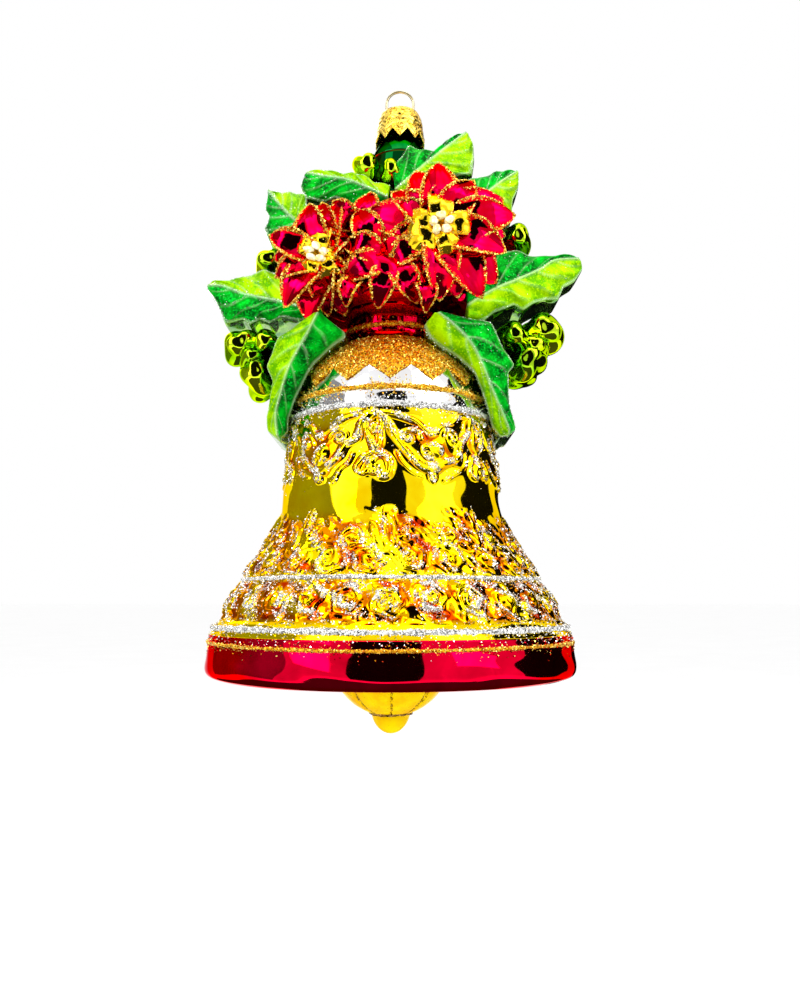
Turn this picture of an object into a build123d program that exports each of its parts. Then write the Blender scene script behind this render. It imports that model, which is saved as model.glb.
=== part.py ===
"""Bell ornament of blown glass: a ringing bell under a crown of leaves and four poinsettias.

Everything is drawn on the bench in millimetres: x from the bell's axis, y away from the
viewer, z up from the lip of the bell. keep() moves each piece to the row frame, whose origin
is the point inside the hanging ring where a hook bears, with +Z up and -Y to the front.
"""
from build123d import *
import os
from math import cos, pi, radians, sin

# ---- driving dimensions ----
WALL = 1.2                          # blown glass
RIM_R = 50.0                        # widest radius, just above the lip
RIM_TOP = 11.5                      # where the red rim meets the gold body
SHOULDER_R, SHOULDER_Z = 27.9, 69.5
DOME_FOOT_R, DOME_FOOT_Z = 26.2, 74.6
DOME_TOP_R, DOME_TOP_Z = 12.6, 91.3
COLLAR_TOP_R, COLLAR_TOP_Z = 12.6, 97.5
NECK_X = 2.5                        # the neck stands this far off the bell's axis, as blown
NECK_FOOT_R, NECK_FOOT_Z = 8.4, 146.5
NECK_R, NECK_TOP_Z, NECK_WALL = 5.3, 159.8, 0.9
CAP_TOP_Z, CAP_FOOT_Z, CAP_FOOT_R = 161.6, 150.6, 7.3
CAP_SHEET = 0.35
CAP_POINTS, CAP_NOTCH = 14, 2.3     # zigzag points round the cap's skirt, and how deep they are cut
HANG_Z = 168.0                      # inside top of the hanging ring
WIRE_R = 0.4
RING_R = 3.9                        # centreline of the ring's arch
LEG_X, LEG_SPREAD_X = 3.6, 3.9      # centreline of the legs in the cap, and where they press on the neck
LEG_FOOT_Z, WIRE_BEND = 141.0, 1.0  # the legs' ends, and the radius of their bends
HOLE_R = 0.5
HOOK_WIRE_R = 0.6                   # staple, link and clapper eye
HOOK_PLAY = 0.15                    # between a hook and the bar that hangs on it
STAPLE_Z, STAPLE_HALF = 84.0, 2.2   # centreline of the staple's bend, and its half width
STAPLE_SET = 2.5                    # how far the staple's ends are set in the plug
LINK_Z = 78.55                      # centreline of the link's lower bend
EYE_HALF = 1.9                      # half width of the link and radius of the clapper's eye
STEM_R, STEM_FOOT_Z = 0.75, -12.6
BALL_R, BALL_Z = 16.8, 5.7
KNOB_R, KNOB_Z = 5.3, -10.1
KNOB_TRIM_R, KNOB_TRIM_Z, KNOB_TRIM = 5.5, -10.4, 0.55
SLIP = 0.02                         # between the stem and the holes it is cemented in
PLUG_FOOT_Z, PLUG_HEIGHT = 91.5, 3.5
FROST = 0.3                         # thickness of the glitter skin on the dome
FROST_FOOT_Z = 76.9
FROST_TEETH, TOOTH_HEIGHT, TOOTH_HALF = 14, 4.4, 5.8
LEAF_WALL = 1.6
FACE_SHARE = 0.86                   # how far a leaf's face is drawn in from its seam
BRACT_DEPTH, HEART_DEPTH, BEAD_R, BEAD_RING_R = 5.0, 2.6, 1.5, 2.1
HEART_PETALS = 5
BRACT_VALLEY, HEART_VALLEY = 0.62, 0.5  # radius of the valleys between petals, as a share of their reach
UNDER_SHARE = 0.82                  # radius of the petals underneath, as a share of the bracts'
TRIM_GAP = 0.05                     # left between a bead of glitter and the leaves that cross it
TRIM_SIDES = 8                      # flats round a bead's section

# outer profiles of the bell's colour zones, as (radius, height)
RIM = [(47.0, 0.0), (49.3, 1.0), (RIM_R, 3.4), (49.4, 7.5), (48.9, RIM_TOP)]
BODY = [(48.9, RIM_TOP), (45.2, 17.5), (40.6, 25.8), (35.6, 34.0), (31.4, 42.5), (30.0, 50.0),
        (28.6, 59.5), (SHOULDER_R, SHOULDER_Z)]
FLANGE = [(SHOULDER_R, SHOULDER_Z), (26.8, 73.8), (DOME_FOOT_R, DOME_FOOT_Z)]
DOME = [(DOME_FOOT_R, DOME_FOOT_Z), (24.9, 79.0), (22.0, 84.0), (17.6, 88.3), (DOME_TOP_R, DOME_TOP_Z)]
COLLAR = [(DOME_TOP_R, DOME_TOP_Z), (11.9, 93.6), (COLLAR_TOP_R, COLLAR_TOP_Z)]
CORE = [(COLLAR_TOP_R, COLLAR_TOP_Z), (17.5, 105.0), (19.5, 116.0), (16.0, 130.0), (11.0, 140.0),
        (NECK_FOOT_R, NECK_FOOT_Z)]
NECK = [(NECK_FOOT_R, NECK_FOOT_Z), (7.2, 149.6), (6.2, 151.0), (NECK_R, 153.0), (NECK_R, NECK_TOP_Z)]
CAP = [(0, CAP_TOP_Z), (4.7, CAP_TOP_Z), (5.7, 160.6), (6.4, 158.4), (6.8, 155.0), (CAP_FOOT_R, CAP_FOOT_Z)]

# leaves: outline as (x, z), root, tip, half thickness at the root, half thickness at the tip
LEAVES = {
    "leaf_top_right": ([(2, 146), (8, 149), (13, 148), (18, 150), (22, 151), (24, 146), (23, 140),
                        (18, 134), (11, 128), (4, 130)], (7, 130), (22, 151), 14, 6),
    "leaf_upper_right": ([(18, 133), (24, 139.5), (29, 139.5), (32, 141), (36, 139.5), (35, 134),
                          (34.5, 128), (30, 122), (20, 120)], (18, 121), (36, 139.5), 15, 6),
    "leaf_right": ([(22, 115), (36, 117), (43, 115.5), (53, 113.5), (51, 107), (48, 102.5), (48, 99.5),
                    (45, 99), (42.5, 96.5), (40, 99), (37, 97.5), (34.5, 94), (28, 96), (20, 103)],
                   (20, 106), (53, 113.5), 16, 6),
    "leaf_lower_right": ([(9.5, 96.5), (13.5, 99), (22, 99), (27.5, 97), (31.5, 90), (35.5, 87),
                          (33, 82.5), (34.5, 66), (28.5, 64.5), (27.5, 69), (24.5, 77.5), (17.5, 85.5),
                          (10.5, 91.5)], (10, 97), (33, 66), 24, 14),
    "leaf_top_left": ([(-25, 138.5), (-22.5, 141), (-17, 141.5), (-13, 139.5), (-9.5, 139.5),
                       (-4.5, 138), (0, 134), (-2, 127), (-12, 127), (-17, 131), (-21, 131), (-24, 133)],
                      (-1, 130), (-25, 138.5), 15, 6),
    "leaf_upper_left": ([(-35, 133.5), (-31, 135), (-26.5, 134.5), (-23, 130), (-18, 123), (-22, 117),
                         (-33.5, 120), (-36, 124), (-34.5, 129)], (-19, 119), (-35, 133.5), 15, 6),
    "leaf_left": ([(-51.5, 106.5), (-48.5, 108.5), (-40.5, 110.5), (-35.5, 111.5), (-26, 110),
                   (-18, 104), (-20, 97), (-30.5, 93), (-34.5, 96.5), (-41.5, 97), (-46, 95.5),
                   (-46.5, 100)], (-18, 102), (-51.5, 106.5), 16, 6),
    "leaf_lower_left": ([(-18, 98), (-25, 96.5), (-32, 92.5), (-34.5, 87), (-32.5, 79), (-34, 69),
                         (-33, 64.5), (-28, 63.5), (-27.5, 68), (-25, 76), (-20, 83), (-11, 90),
                         (-9.5, 93), (-12, 97)], (-11, 97), (-32, 65), 24, 14),
}

# berries: lobes as (x, z, radius, half length along y)
BERRIES = {
    "berries_right": [(43.0, 95.5, 5.5, 3.5), (37.5, 86.0, 5.8, 5.0), (34.5, 92.5, 4.5, 9.0)],
    "berry_upper_right": [(36.0, 122.5, 4.6, 3.0)],
    "berries_left": [(-41.8, 91.5, 5.2, 3.5), (-37.0, 82.8, 5.6, 5.0), (-34.5, 90.5, 4.2, 9.0)],
    "berry_upper_left": [(-34.0, 115.5, 4.7, 4.0)],
    "berries_top": [(-5.5, 142.0, 5.2, 3.0)],
}

# poinsettias: centre (x, z), how far the bracts' back stands off y = 0, bracts as (angle, reach),
# and the reach of the gold petals
FLOWERS = {
    "right": ((11.8, 115.2), 24.0, [(-20, 18), (6, 21), (45, 14.5), (90, 16.6), (140, 15.5), (208, 18.5),
                                    (230, 23), (270, 20), (302, 22.5)], 11.0),
    "left": ((-17.3, 108.7), 22.0, [(0, 11), (45, 13), (82, 14.5), (125, 13), (158, 15), (195, 13),
                                    (230, 16), (270, 13.5), (315, 13.5)], 9.0),
}

os.makedirs("parts", exist_ok=True)
overall = []


def keep(name, shape):
    """Moves a piece from the bench to the row frame and writes its STEP file."""
    piece = Pos(-NECK_X, 0, -HANG_Z) * shape
    export_step(piece, f"parts/{name}.step")
    overall.append(piece)


# ---- helpers ----
def profile_wire(points, smooth):
    """A profile in the XZ plane: one curve through its points, or straight runs."""
    corners = [Vector(r, 0, z) for r, z in points]
    return Wire(Spline(*corners)) if smooth else Wire(Polyline(*corners))


def shell(points, wall=WALL, smooth=True):
    """A wall of even thickness, turned about Z from its outer profile."""
    outer = profile_wire(points, smooth)
    inner = profile_wire([(r - wall, z) for r, z in points], smooth)
    foot, head = Line(outer @ 0, inner @ 0), Line(outer @ 1, inner @ 1)
    return revolve(make_face(outer.edges() + foot.edges() + inner.edges() + head.edges()), Axis.Z)


def filled_face(points, smooth=True):
    """The half section inside an outer profile, out from the axis."""
    outer = profile_wire(points, smooth)
    (low_r, low), (high_r, high) = points[0], points[-1]
    rest = Polyline((high_r, 0, high), (0, 0, high), (0, 0, low), (low_r, 0, low))
    return make_face(outer.edges() + rest.edges())


def filled(points, smooth=True):
    """The solid inside an outer profile, for cutting the pieces that lie against it."""
    return revolve(filled_face(points, smooth), Axis.Z)


def wire_along(path, radius):
    """Round wire along a path."""
    return sweep(Plane(path @ 0, z_dir=path % 0) * Circle(radius), path=path)


def minus_all(shape, cutters):
    """The shape with each of the cutters taken out of it in turn."""
    for cutter in cutters:
        shape = shape - cutter
    return shape


# ---- the bell's glass ----
def core_solid(inset):
    """Round sections up the crown's core, drifting from the bell's axis to the neck's."""
    rise = NECK_FOOT_Z - COLLAR_TOP_Z
    return loft([Pos(NECK_X * (z - COLLAR_TOP_Z) / rise, 0, z) * Circle(r - inset) for r, z in CORE])


def glass_neck():
    """The pike left by blowing, ground flat under the cap."""
    return Pos(NECK_X, 0, 0) * shell(NECK, NECK_WALL, smooth=False)


# ---- hanging hardware ----
def crown_cap():
    """Pressed cap: a domed skirt cut to points, with two holes for the hanger's legs."""
    inner = [(max(r - CAP_SHEET, 0), z) for r, z in CAP[1:]]
    inner[0] = (inner[0][0], CAP_TOP_Z - CAP_SHEET)
    inner.append((0, CAP_TOP_Z - CAP_SHEET))
    ring = CAP + sorted(inner, key=lambda point: point[1])
    cap = revolve(make_face(Polyline(*[(r, 0, z) for r, z in ring], close=True)), Axis.Z)
    half = pi * CAP_FOOT_R / CAP_POINTS
    corners = [(-half, CAP_FOOT_Z - CAP_SHEET), (-half, CAP_FOOT_Z), (0, CAP_FOOT_Z + CAP_NOTCH),
               (half, CAP_FOOT_Z), (half, CAP_FOOT_Z - CAP_SHEET)]
    notch = extrude(Plane.YZ * make_face(Polyline(*corners, close=True)), CAP_FOOT_R)
    turns = [360 / CAP_POINTS * (k + 0.5) - 90 for k in range(CAP_POINTS)]
    cap = minus_all(cap, [Rot(0, 0, turn) * Pos(1, 0, 0) * notch for turn in turns])
    holes = [Pos(side * LEG_X, 0, CAP_TOP_Z) * Cylinder(HOLE_R, CAP_FOOT_R) for side in (-1, 1)]
    return Pos(NECK_X, 0, 0) * minus_all(cap, holes)


def hanger_wire():
    """One bent wire: a ring over the cap, and two spring legs down the neck."""
    arch_z = HANG_Z - (RING_R - WIRE_R)
    leg = [(-LEG_SPREAD_X, 0, LEG_FOOT_Z), (-LEG_SPREAD_X, 0, NECK_FOOT_Z), (-LEG_X, 0, NECK_FOOT_Z + 3),
           (-LEG_X, 0, CAP_TOP_Z + 0.6), (-RING_R, 0, CAP_TOP_Z + 1.6), (-RING_R, 0, arch_z)]
    left = FilletPolyline(*leg, radius=WIRE_BEND)
    right = FilletPolyline(*[(-x, y, z) for x, y, z in reversed(leg)], radius=WIRE_BEND)
    arch = ThreePointArc((-RING_R, 0, arch_z), (0, 0, arch_z + RING_R), (RING_R, 0, arch_z))
    return Pos(NECK_X, 0, 0) * wire_along(Wire(left.edges() + [arch] + right.edges()), WIRE_R)


# ---- clapper and what it hangs on ----
def staple():
    """A U of wire, its ends set in the plug and its bend carrying the link."""
    head, bend = PLUG_FOOT_Z + STAPLE_SET, STAPLE_Z + STAPLE_HALF
    path = Wire([
        Line((-STAPLE_HALF, 0, head), (-STAPLE_HALF, 0, bend)),
        ThreePointArc((-STAPLE_HALF, 0, bend), (0, 0, STAPLE_Z), (STAPLE_HALF, 0, bend)),
        Line((STAPLE_HALF, 0, bend), (STAPLE_HALF, 0, head)),
    ])
    return wire_along(path, HOOK_WIRE_R)


HANG = 2 * HOOK_WIRE_R + HOOK_PLAY  # centreline of a bar to the centreline of what hangs on it


def link():
    """A closed link in the YZ plane, between the staple's bend and the clapper's eye."""
    low, high = LINK_Z + EYE_HALF, STAPLE_Z + HANG - EYE_HALF
    path = Wire([
        Line((0, -EYE_HALF, low), (0, -EYE_HALF, high)),
        ThreePointArc((0, -EYE_HALF, high), (0, 0, high + EYE_HALF), (0, EYE_HALF, high)),
        Line((0, EYE_HALF, high), (0, EYE_HALF, low)),
        ThreePointArc((0, EYE_HALF, low), (0, 0, low - EYE_HALF), (0, -EYE_HALF, low)),
    ])
    return wire_along(path, HOOK_WIRE_R)


def clapper_stem():
    """An eye over the link, and the straight wire that the ball and the knob are cemented on."""
    eye_z = LINK_Z + HANG - EYE_HALF
    stem_top = eye_z - EYE_HALF
    eye = Pos(0, 0, eye_z) * Rot(90, 0, 0) * Torus(EYE_HALF, HOOK_WIRE_R)
    return eye + Pos(0, 0, (stem_top + STEM_FOOT_Z) / 2) * Cylinder(STEM_R, stem_top - STEM_FOOT_Z)


# ---- glitter laid on the glass ----
def band(radius, z, thick, zones):
    """A bead of glue and glitter round the bell: an eight-sided section less the glass it lies on."""
    section = Plane((radius, 0, z), x_dir=(1, 0, 0), z_dir=(0, -1, 0)) * RegularPolygon(thick, TRIM_SIDES)
    return revolve(minus_all(section, zones), Axis.Z)


def dome_frosting():
    """A skin of gold glitter on the dome, with its lower edge cut to points."""
    skin = filled([(r + FROST, z) for r, z in DOME]) - filled(DOME)
    skin -= Pos(0, 0, FROST_FOOT_Z - 5) * Cylinder(2 * DOME_FOOT_R, 10)
    corners = [(-TOOTH_HALF, FROST_FOOT_Z - 1), (TOOTH_HALF, FROST_FOOT_Z - 1), (TOOTH_HALF, FROST_FOOT_Z),
               (0, FROST_FOOT_Z + TOOTH_HEIGHT), (-TOOTH_HALF, FROST_FOOT_Z)]
    valley = extrude(Plane.YZ * make_face(Polyline(*corners, close=True)), 2 * DOME_TOP_R)
    turns = [360 / FROST_TEETH * (k + 0.5) - 90 for k in range(FROST_TEETH)]
    skin = minus_all(skin, [Rot(0, 0, turn) * Pos(DOME_TOP_R, 0, 0) * valley for turn in turns])
    return max(skin.solids(), key=lambda solid: solid.volume)


# ---- leaves, berries and flowers ----
def pillow(outline, root, tip, root_depth, tip_depth, shrink=1.0, thinner=0.0):
    """A leaf with a face to the front and one to the back, joined at the seam in y = 0.

    Each face is the outline drawn in about its middle, on a plane that slopes from root_depth
    to tip_depth. shrink draws the whole outline towards the root and thinner takes depth away,
    which makes the hollow inside.
    """
    seam = [(root[0] + (x - root[0]) * shrink, root[1] + (z - root[1]) * shrink) for x, z in outline]
    mid_x = sum(x for x, _ in seam) / len(seam)
    mid_z = sum(z for _, z in seam) / len(seam)
    run_x, run_z = tip[0] - root[0], tip[1] - root[1]

    def depth(x, z):
        share = ((x - root[0]) * run_x + (z - root[1]) * run_z) / (run_x ** 2 + run_z ** 2)
        return root_depth + (tip_depth - root_depth) * share - thinner

    face = [(mid_x + (x - mid_x) * FACE_SHARE, mid_z + (z - mid_z) * FACE_SHARE) for x, z in seam]
    back = make_face(Polyline(*[(x, 0, z) for x, z in seam], close=True))
    front = make_face(Polyline(*[(x, -depth(x, z), z) for x, z in face], close=True))
    half = loft([back, front], ruled=True)
    return half + mirror(half, about=Plane.XZ)


def berry(x, z, radius, half):
    """One lobe: a bar along Y with round ends."""
    end = half + radius
    lean = radius * cos(pi / 4)
    half_section = make_face([
        Line((0, -end), (0, end)),
        ThreePointArc((0, end), (lean, half + lean), (radius, half)),
        Line((radius, half), (radius, -half)),
        ThreePointArc((radius, -half), (lean, -half - lean), (0, -end)),
    ])
    return Pos(x, 0, z) * revolve(half_section, Axis.Y)


def rosette(tips, valley_r, depth):
    """A flat star with a point for each (angle, radius) and a valley between, extruded."""
    points = []
    for (angle, reach), (following, _) in zip(tips, tips[1:] + tips[:1]):
        between = (angle + following + (360 if following < angle else 0)) / 2
        points.append((reach * cos(radians(angle)), reach * sin(radians(angle))))
        points.append((valley_r * cos(radians(between)), valley_r * sin(radians(between))))
    return extrude(make_face(Polyline(*points, close=True)), depth)


def flower(centre, stand_off, tips, heart_r):
    """One poinsettia at the front: the boss it grows from, bracts, gold petals and beads."""
    x, z = centre
    mean_r = sum(reach for _, reach in tips) / len(tips)
    face = Pos(x, -stand_off, z) * Rot(90, 0, 0)
    boss = Pos(x, -stand_off / 2, z) * Rot(90, 0, 0) * Cylinder(mean_r * UNDER_SHARE, stand_off)
    bracts = face * rosette(tips, mean_r * BRACT_VALLEY, BRACT_DEPTH)
    heart_tips = [(90 + 360 / HEART_PETALS * k, heart_r) for k in range(HEART_PETALS)]
    heart = Pos(0, -BRACT_DEPTH, 0) * face * rosette(heart_tips, heart_r * HEART_VALLEY, HEART_DEPTH)
    bead_y = -stand_off - BRACT_DEPTH - HEART_DEPTH
    beads = []
    for angle in range(18, 378, 72):
        bead_x, bead_z = x + BEAD_RING_R * cos(radians(angle)), z + BEAD_RING_R * sin(radians(angle))
        behind = Pos(bead_x, bead_y + BEAD_R, bead_z) * Box(4 * BEAD_R, 2 * BEAD_R, 4 * BEAD_R)
        beads.append(Pos(bead_x, bead_y, bead_z) * Sphere(BEAD_R) - behind)
    hollow = Pos(x, -stand_off / 2, z) * Rot(90, 0, 0) * Cylinder(mean_r * UNDER_SHARE - WALL, stand_off)
    return boss, hollow, bracts, heart, Compound(children=beads)


# ---- the pieces ----
keep("rim_band", shell(RIM))
keep("bell_body", shell(BODY))
keep("bell_dome", shell(FLANGE, smooth=False) + shell(DOME))
keep("bell_collar", shell(COLLAR, smooth=False))
core_filled = core_solid(0)
keep("crown_core", core_filled - core_solid(WALL))
keep("glass_neck", glass_neck())
keep("crown_cap", crown_cap())
keep("hanger_wire", hanger_wire())

staple_wire = staple()
collar_bore = filled([(r - WALL, z) for r, z in COLLAR], smooth=False)
plug_slab = Pos(0, 0, PLUG_FOOT_Z + PLUG_HEIGHT / 2) * Cylinder(DOME_TOP_R, PLUG_HEIGHT)
keep("crown_plug", (collar_bore & plug_slab) - staple_wire)
keep("clapper_staple", staple_wire)
keep("clapper_link", link())
keep("clapper_stem", clapper_stem())
ball = Pos(0, 0, BALL_Z) * Sphere(BALL_R)
knob = Pos(0, 0, KNOB_Z) * Sphere(KNOB_R)
bore_top = BALL_Z + BALL_R + 1
stem_bore = Pos(0, 0, (bore_top + STEM_FOOT_Z) / 2) * Cylinder(STEM_R + SLIP, bore_top - STEM_FOOT_Z)
keep("clapper_ball", ball - Pos(0, 0, BALL_Z) * Sphere(BALL_R - WALL) - stem_bore)
keep("clapper_knob", knob - ball - stem_bore)
keep("clapper_trim", Pos(0, 0, KNOB_TRIM_Z) * Torus(KNOB_TRIM_R, KNOB_TRIM) - ball - knob)

rim_face, body_face, collar_face = filled_face(RIM), filled_face(BODY), filled_face(COLLAR, smooth=False)
flange_face, dome_face = filled_face(FLANGE, smooth=False), filled_face(DOME)
trims = {
    # name: radius, height and thickness of the bead, and the glass under it
    "trim_rim_gold": (49.4, 9.2, 0.55, [rim_face]),
    "trim_rim_silver": (47.9, 13.1, 1.1, [rim_face, body_face]),
    "trim_waist_silver": (40.7, 25.8, 0.8, [body_face]),
    "trim_shoulder_silver": (28.0, SHOULDER_Z, 0.95, [body_face, flange_face]),
    "trim_dome_gold": (26.5, 74.2, 0.6, [flange_face, dome_face]),
    "trim_collar_gold": (12.3, 94.6, 0.6, [collar_face]),
}
for name, (radius, z, thick, zones) in trims.items():
    keep(name, band(radius, z, thick, zones))
keep("dome_frosting", dome_frosting())

frosted_dome = filled([(r + FROST + TRIM_GAP, z) for r, z in DOME])
neck_room = Pos(NECK_X, 0, (NECK_FOOT_Z + NECK_TOP_Z) / 2) * Cylinder(NECK_FOOT_R, NECK_TOP_Z - NECK_FOOT_Z)
trim_room = [Pos(0, 0, z) * Torus(radius, thick + TRIM_GAP) for radius, z, thick, _ in trims.values()]
glass_taken = [core_filled, filled(COLLAR, smooth=False), filled(BODY), filled(FLANGE, smooth=False),
               frosted_dome, neck_room] + trim_room

flower_taken = []
for side, facts in FLOWERS.items():
    boss, hollow, bracts, heart, beads = flower(*facts)
    bracts = minus_all(bracts, flower_taken)
    pieces = {
        "underpetals": minus_all(boss - hollow, glass_taken + flower_taken),
        "bracts": bracts,
        "heart": minus_all(heart, flower_taken),
        "beads": beads,
    }
    for name, piece in pieces.items():
        keep(f"{side}_{name}_front", piece)
        keep(f"{side}_{name}_back", mirror(piece, about=Plane.XZ))
    flower_taken += [boss, bracts]
flower_taken += [mirror(solid, about=Plane.XZ) for solid in flower_taken]

berry_taken = []
for name, lobes in BERRIES.items():
    cluster = []
    for lobe in lobes:
        whole = berry(*lobe)
        cluster.append(minus_all(whole, glass_taken + berry_taken))
        berry_taken.append(whole)
    keep(name, Compound(children=cluster) if len(cluster) > 1 else cluster[0])

leaf_taken = []
for name, facts in LEAVES.items():
    whole = pillow(*facts)
    hollow = whole - pillow(*facts, shrink=0.9, thinner=LEAF_WALL)
    leaf = minus_all(hollow, glass_taken + flower_taken + berry_taken + leaf_taken)
    keep(name, max(leaf.solids(), key=lambda solid: solid.volume))
    leaf_taken.append(whole)

print("pieces", len(overall), "overall", Compound(children=overall).bounding_box().size)
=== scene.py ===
"""The looks of a blown glass bell ornament.

Shapes are worked out in millimetres on the bench: x from the bell's axis, y away from the
front, z up from the bell's lip. to_row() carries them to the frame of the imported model.
"""

import bpy
import numpy as np
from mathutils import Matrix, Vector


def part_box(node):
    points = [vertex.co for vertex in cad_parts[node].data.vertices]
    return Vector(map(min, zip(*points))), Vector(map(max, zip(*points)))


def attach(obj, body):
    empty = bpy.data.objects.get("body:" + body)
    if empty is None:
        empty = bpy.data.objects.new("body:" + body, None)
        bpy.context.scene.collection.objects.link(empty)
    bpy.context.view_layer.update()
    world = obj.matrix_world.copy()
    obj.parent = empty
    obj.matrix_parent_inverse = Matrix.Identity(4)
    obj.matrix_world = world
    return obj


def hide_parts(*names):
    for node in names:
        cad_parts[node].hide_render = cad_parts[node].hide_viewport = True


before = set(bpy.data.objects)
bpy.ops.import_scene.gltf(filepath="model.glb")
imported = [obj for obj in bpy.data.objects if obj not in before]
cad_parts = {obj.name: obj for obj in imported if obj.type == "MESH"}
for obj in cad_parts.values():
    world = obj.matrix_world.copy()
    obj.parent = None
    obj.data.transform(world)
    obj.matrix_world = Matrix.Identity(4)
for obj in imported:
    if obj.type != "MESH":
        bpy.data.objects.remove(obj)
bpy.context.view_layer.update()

MM = 0.001
rim_low, rim_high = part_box("rim_band")
AXIS_X = (rim_low.x + rim_high.x) / 2
LIP_Z = rim_low.z
neck_low, neck_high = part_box("glass_neck")
NECK_X = ((neck_low.x + neck_high.x) / 2 - AXIS_X) / MM
TAU = 2 * np.pi
rng = np.random.default_rng(7)


# ---------------------------------------------------------------- meshes
def to_row(points):
    """Bench millimetres to metres in the row's frame."""
    return np.asarray(points) * MM + np.array([AXIS_X, 0.0, LIP_Z])


def spline(points, count):
    """A curve through the points: cubic pieces whose slope at a point is half its neighbours' step."""
    p = np.asarray(points, float)
    p = np.vstack([2 * p[:1] - p[1:2], p, 2 * p[-1:] - p[-2:-1]])
    spans = len(p) - 3
    t = np.linspace(0, spans, count)
    i = np.minimum(t.astype(int), spans - 1)
    f = (t - i)[:, None]
    a, b, c, d = p[i], p[i + 1], p[i + 2], p[i + 3]
    square, cube = 2 * a - 5 * b + 4 * c - d, 3 * b - a - 3 * c + d
    return 0.5 * (2 * b + (c - a) * f + square * f ** 2 + cube * f ** 3)


def even(points, count):
    """The same curve, cut into equal lengths."""
    run = np.r_[0, np.cumsum(np.linalg.norm(np.diff(points, axis=0), axis=1))]
    at = np.linspace(0, run[-1], count)
    return np.stack([np.interp(at, run, column) for column in points.T], -1)


def grid(points, wrap_rows=False, wrap_columns=False, **attributes):
    """A surface from a rows x columns x 3 grid: one quad between each four neighbours."""
    rows, columns = points.shape[:2]
    index = np.arange(rows * columns).reshape(rows, columns)
    if wrap_rows:
        index = np.vstack([index, index[:1]])
    if wrap_columns:
        index = np.hstack([index, index[:, :1]])
    quads = np.stack([index[:-1, :-1], index[1:, :-1], index[1:, 1:], index[:-1, 1:]], -1).reshape(-1, 4)
    values = {k: np.broadcast_to(v, (rows, columns)).ravel() for k, v in attributes.items()}
    return weld(points.reshape(-1, 3), quads, values)


def weld(points, quads, values):
    """Merges coinciding points, makes collapsed quads triangles, and faces the shell outwards."""
    _, first, back = np.unique(np.round(points, 4), axis=0, return_index=True, return_inverse=True)
    points, quads = points[first], back.ravel()[quads]
    values = {k: v[first] for k, v in values.items()}
    doubled = quads == np.roll(quads, -1, axis=1)
    lost = doubled.sum(1)
    tris = quads[lost == 1][~doubled[lost == 1]].reshape(-1, 3)
    quads = quads[lost == 0]
    corners = np.vstack([quads[:, [0, 1, 2]], quads[:, [0, 2, 3]], tris])
    a, b, c = (points[corners[:, k]] for k in range(3))
    if np.einsum("ij,ij->", np.cross(a, b), c) < 0:
        quads, tris = quads[:, ::-1], tris[:, ::-1]
    return {"points": points, "quads": quads, "tris": tris, "values": values}


TETRA = np.array([[1, 1, 1], [1, -1, -1], [-1, 1, -1], [-1, -1, 1]]) / np.sqrt(3)
TETRA_FACES = np.array([[0, 1, 2], [0, 3, 1], [0, 2, 3], [1, 3, 2]])


def grains(points, size):
    """Grains of glitter: at each point a four-cornered chip, turned and scaled at random."""
    n = len(points)
    q = rng.normal(size=(n, 4))
    w, x, y, z = (q / np.linalg.norm(q, axis=1, keepdims=True)).T
    turn = np.stack([1 - 2 * (y * y + z * z), 2 * (x * y - z * w), 2 * (x * z + y * w),
                     2 * (x * y + z * w), 1 - 2 * (x * x + z * z), 2 * (y * z - x * w),
                     2 * (x * z - y * w), 2 * (y * z + x * w), 1 - 2 * (x * x + y * y)], -1).reshape(n, 3, 3)
    stretch = size * rng.uniform(0.55, 1.25, (n, 1, 1)) * rng.uniform(0.5, 1.0, (n, 1, 3))
    corners = points[:, None] + np.einsum("nij,nkj->nki", turn, TETRA * stretch)
    tris = (np.arange(n) * 4)[:, None, None] + TETRA_FACES
    return {"points": corners.reshape(-1, 3), "quads": np.zeros((0, 4), int), "tris": tris.reshape(-1, 3),
            "values": {"tint": np.repeat(rng.random(n), 4)}}


def scatter(points, weight, count, rise=0.0):
    """Random places on a surface's grid: a face's chance is its area times the weight there."""
    a, b, c = points[:-1, :-1], points[1:, :-1], points[:-1, 1:]
    normal = np.cross(b - a, c - a)
    area = np.linalg.norm(normal, axis=-1)
    chance = np.cumsum((weight[:-1, :-1] * area).ravel())
    i, j = np.unravel_index(np.searchsorted(chance, rng.random(count) * chance[-1]), area.shape)
    f, g = rng.random((2, count, 1))
    near = (1 - g) * points[i, j] + g * points[i, j + 1]
    far = (1 - g) * points[i + 1, j] + g * points[i + 1, j + 1]
    return (1 - f) * near + f * far + rise * normal[i, j] / (area[i, j][:, None] + 1e-9)


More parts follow.
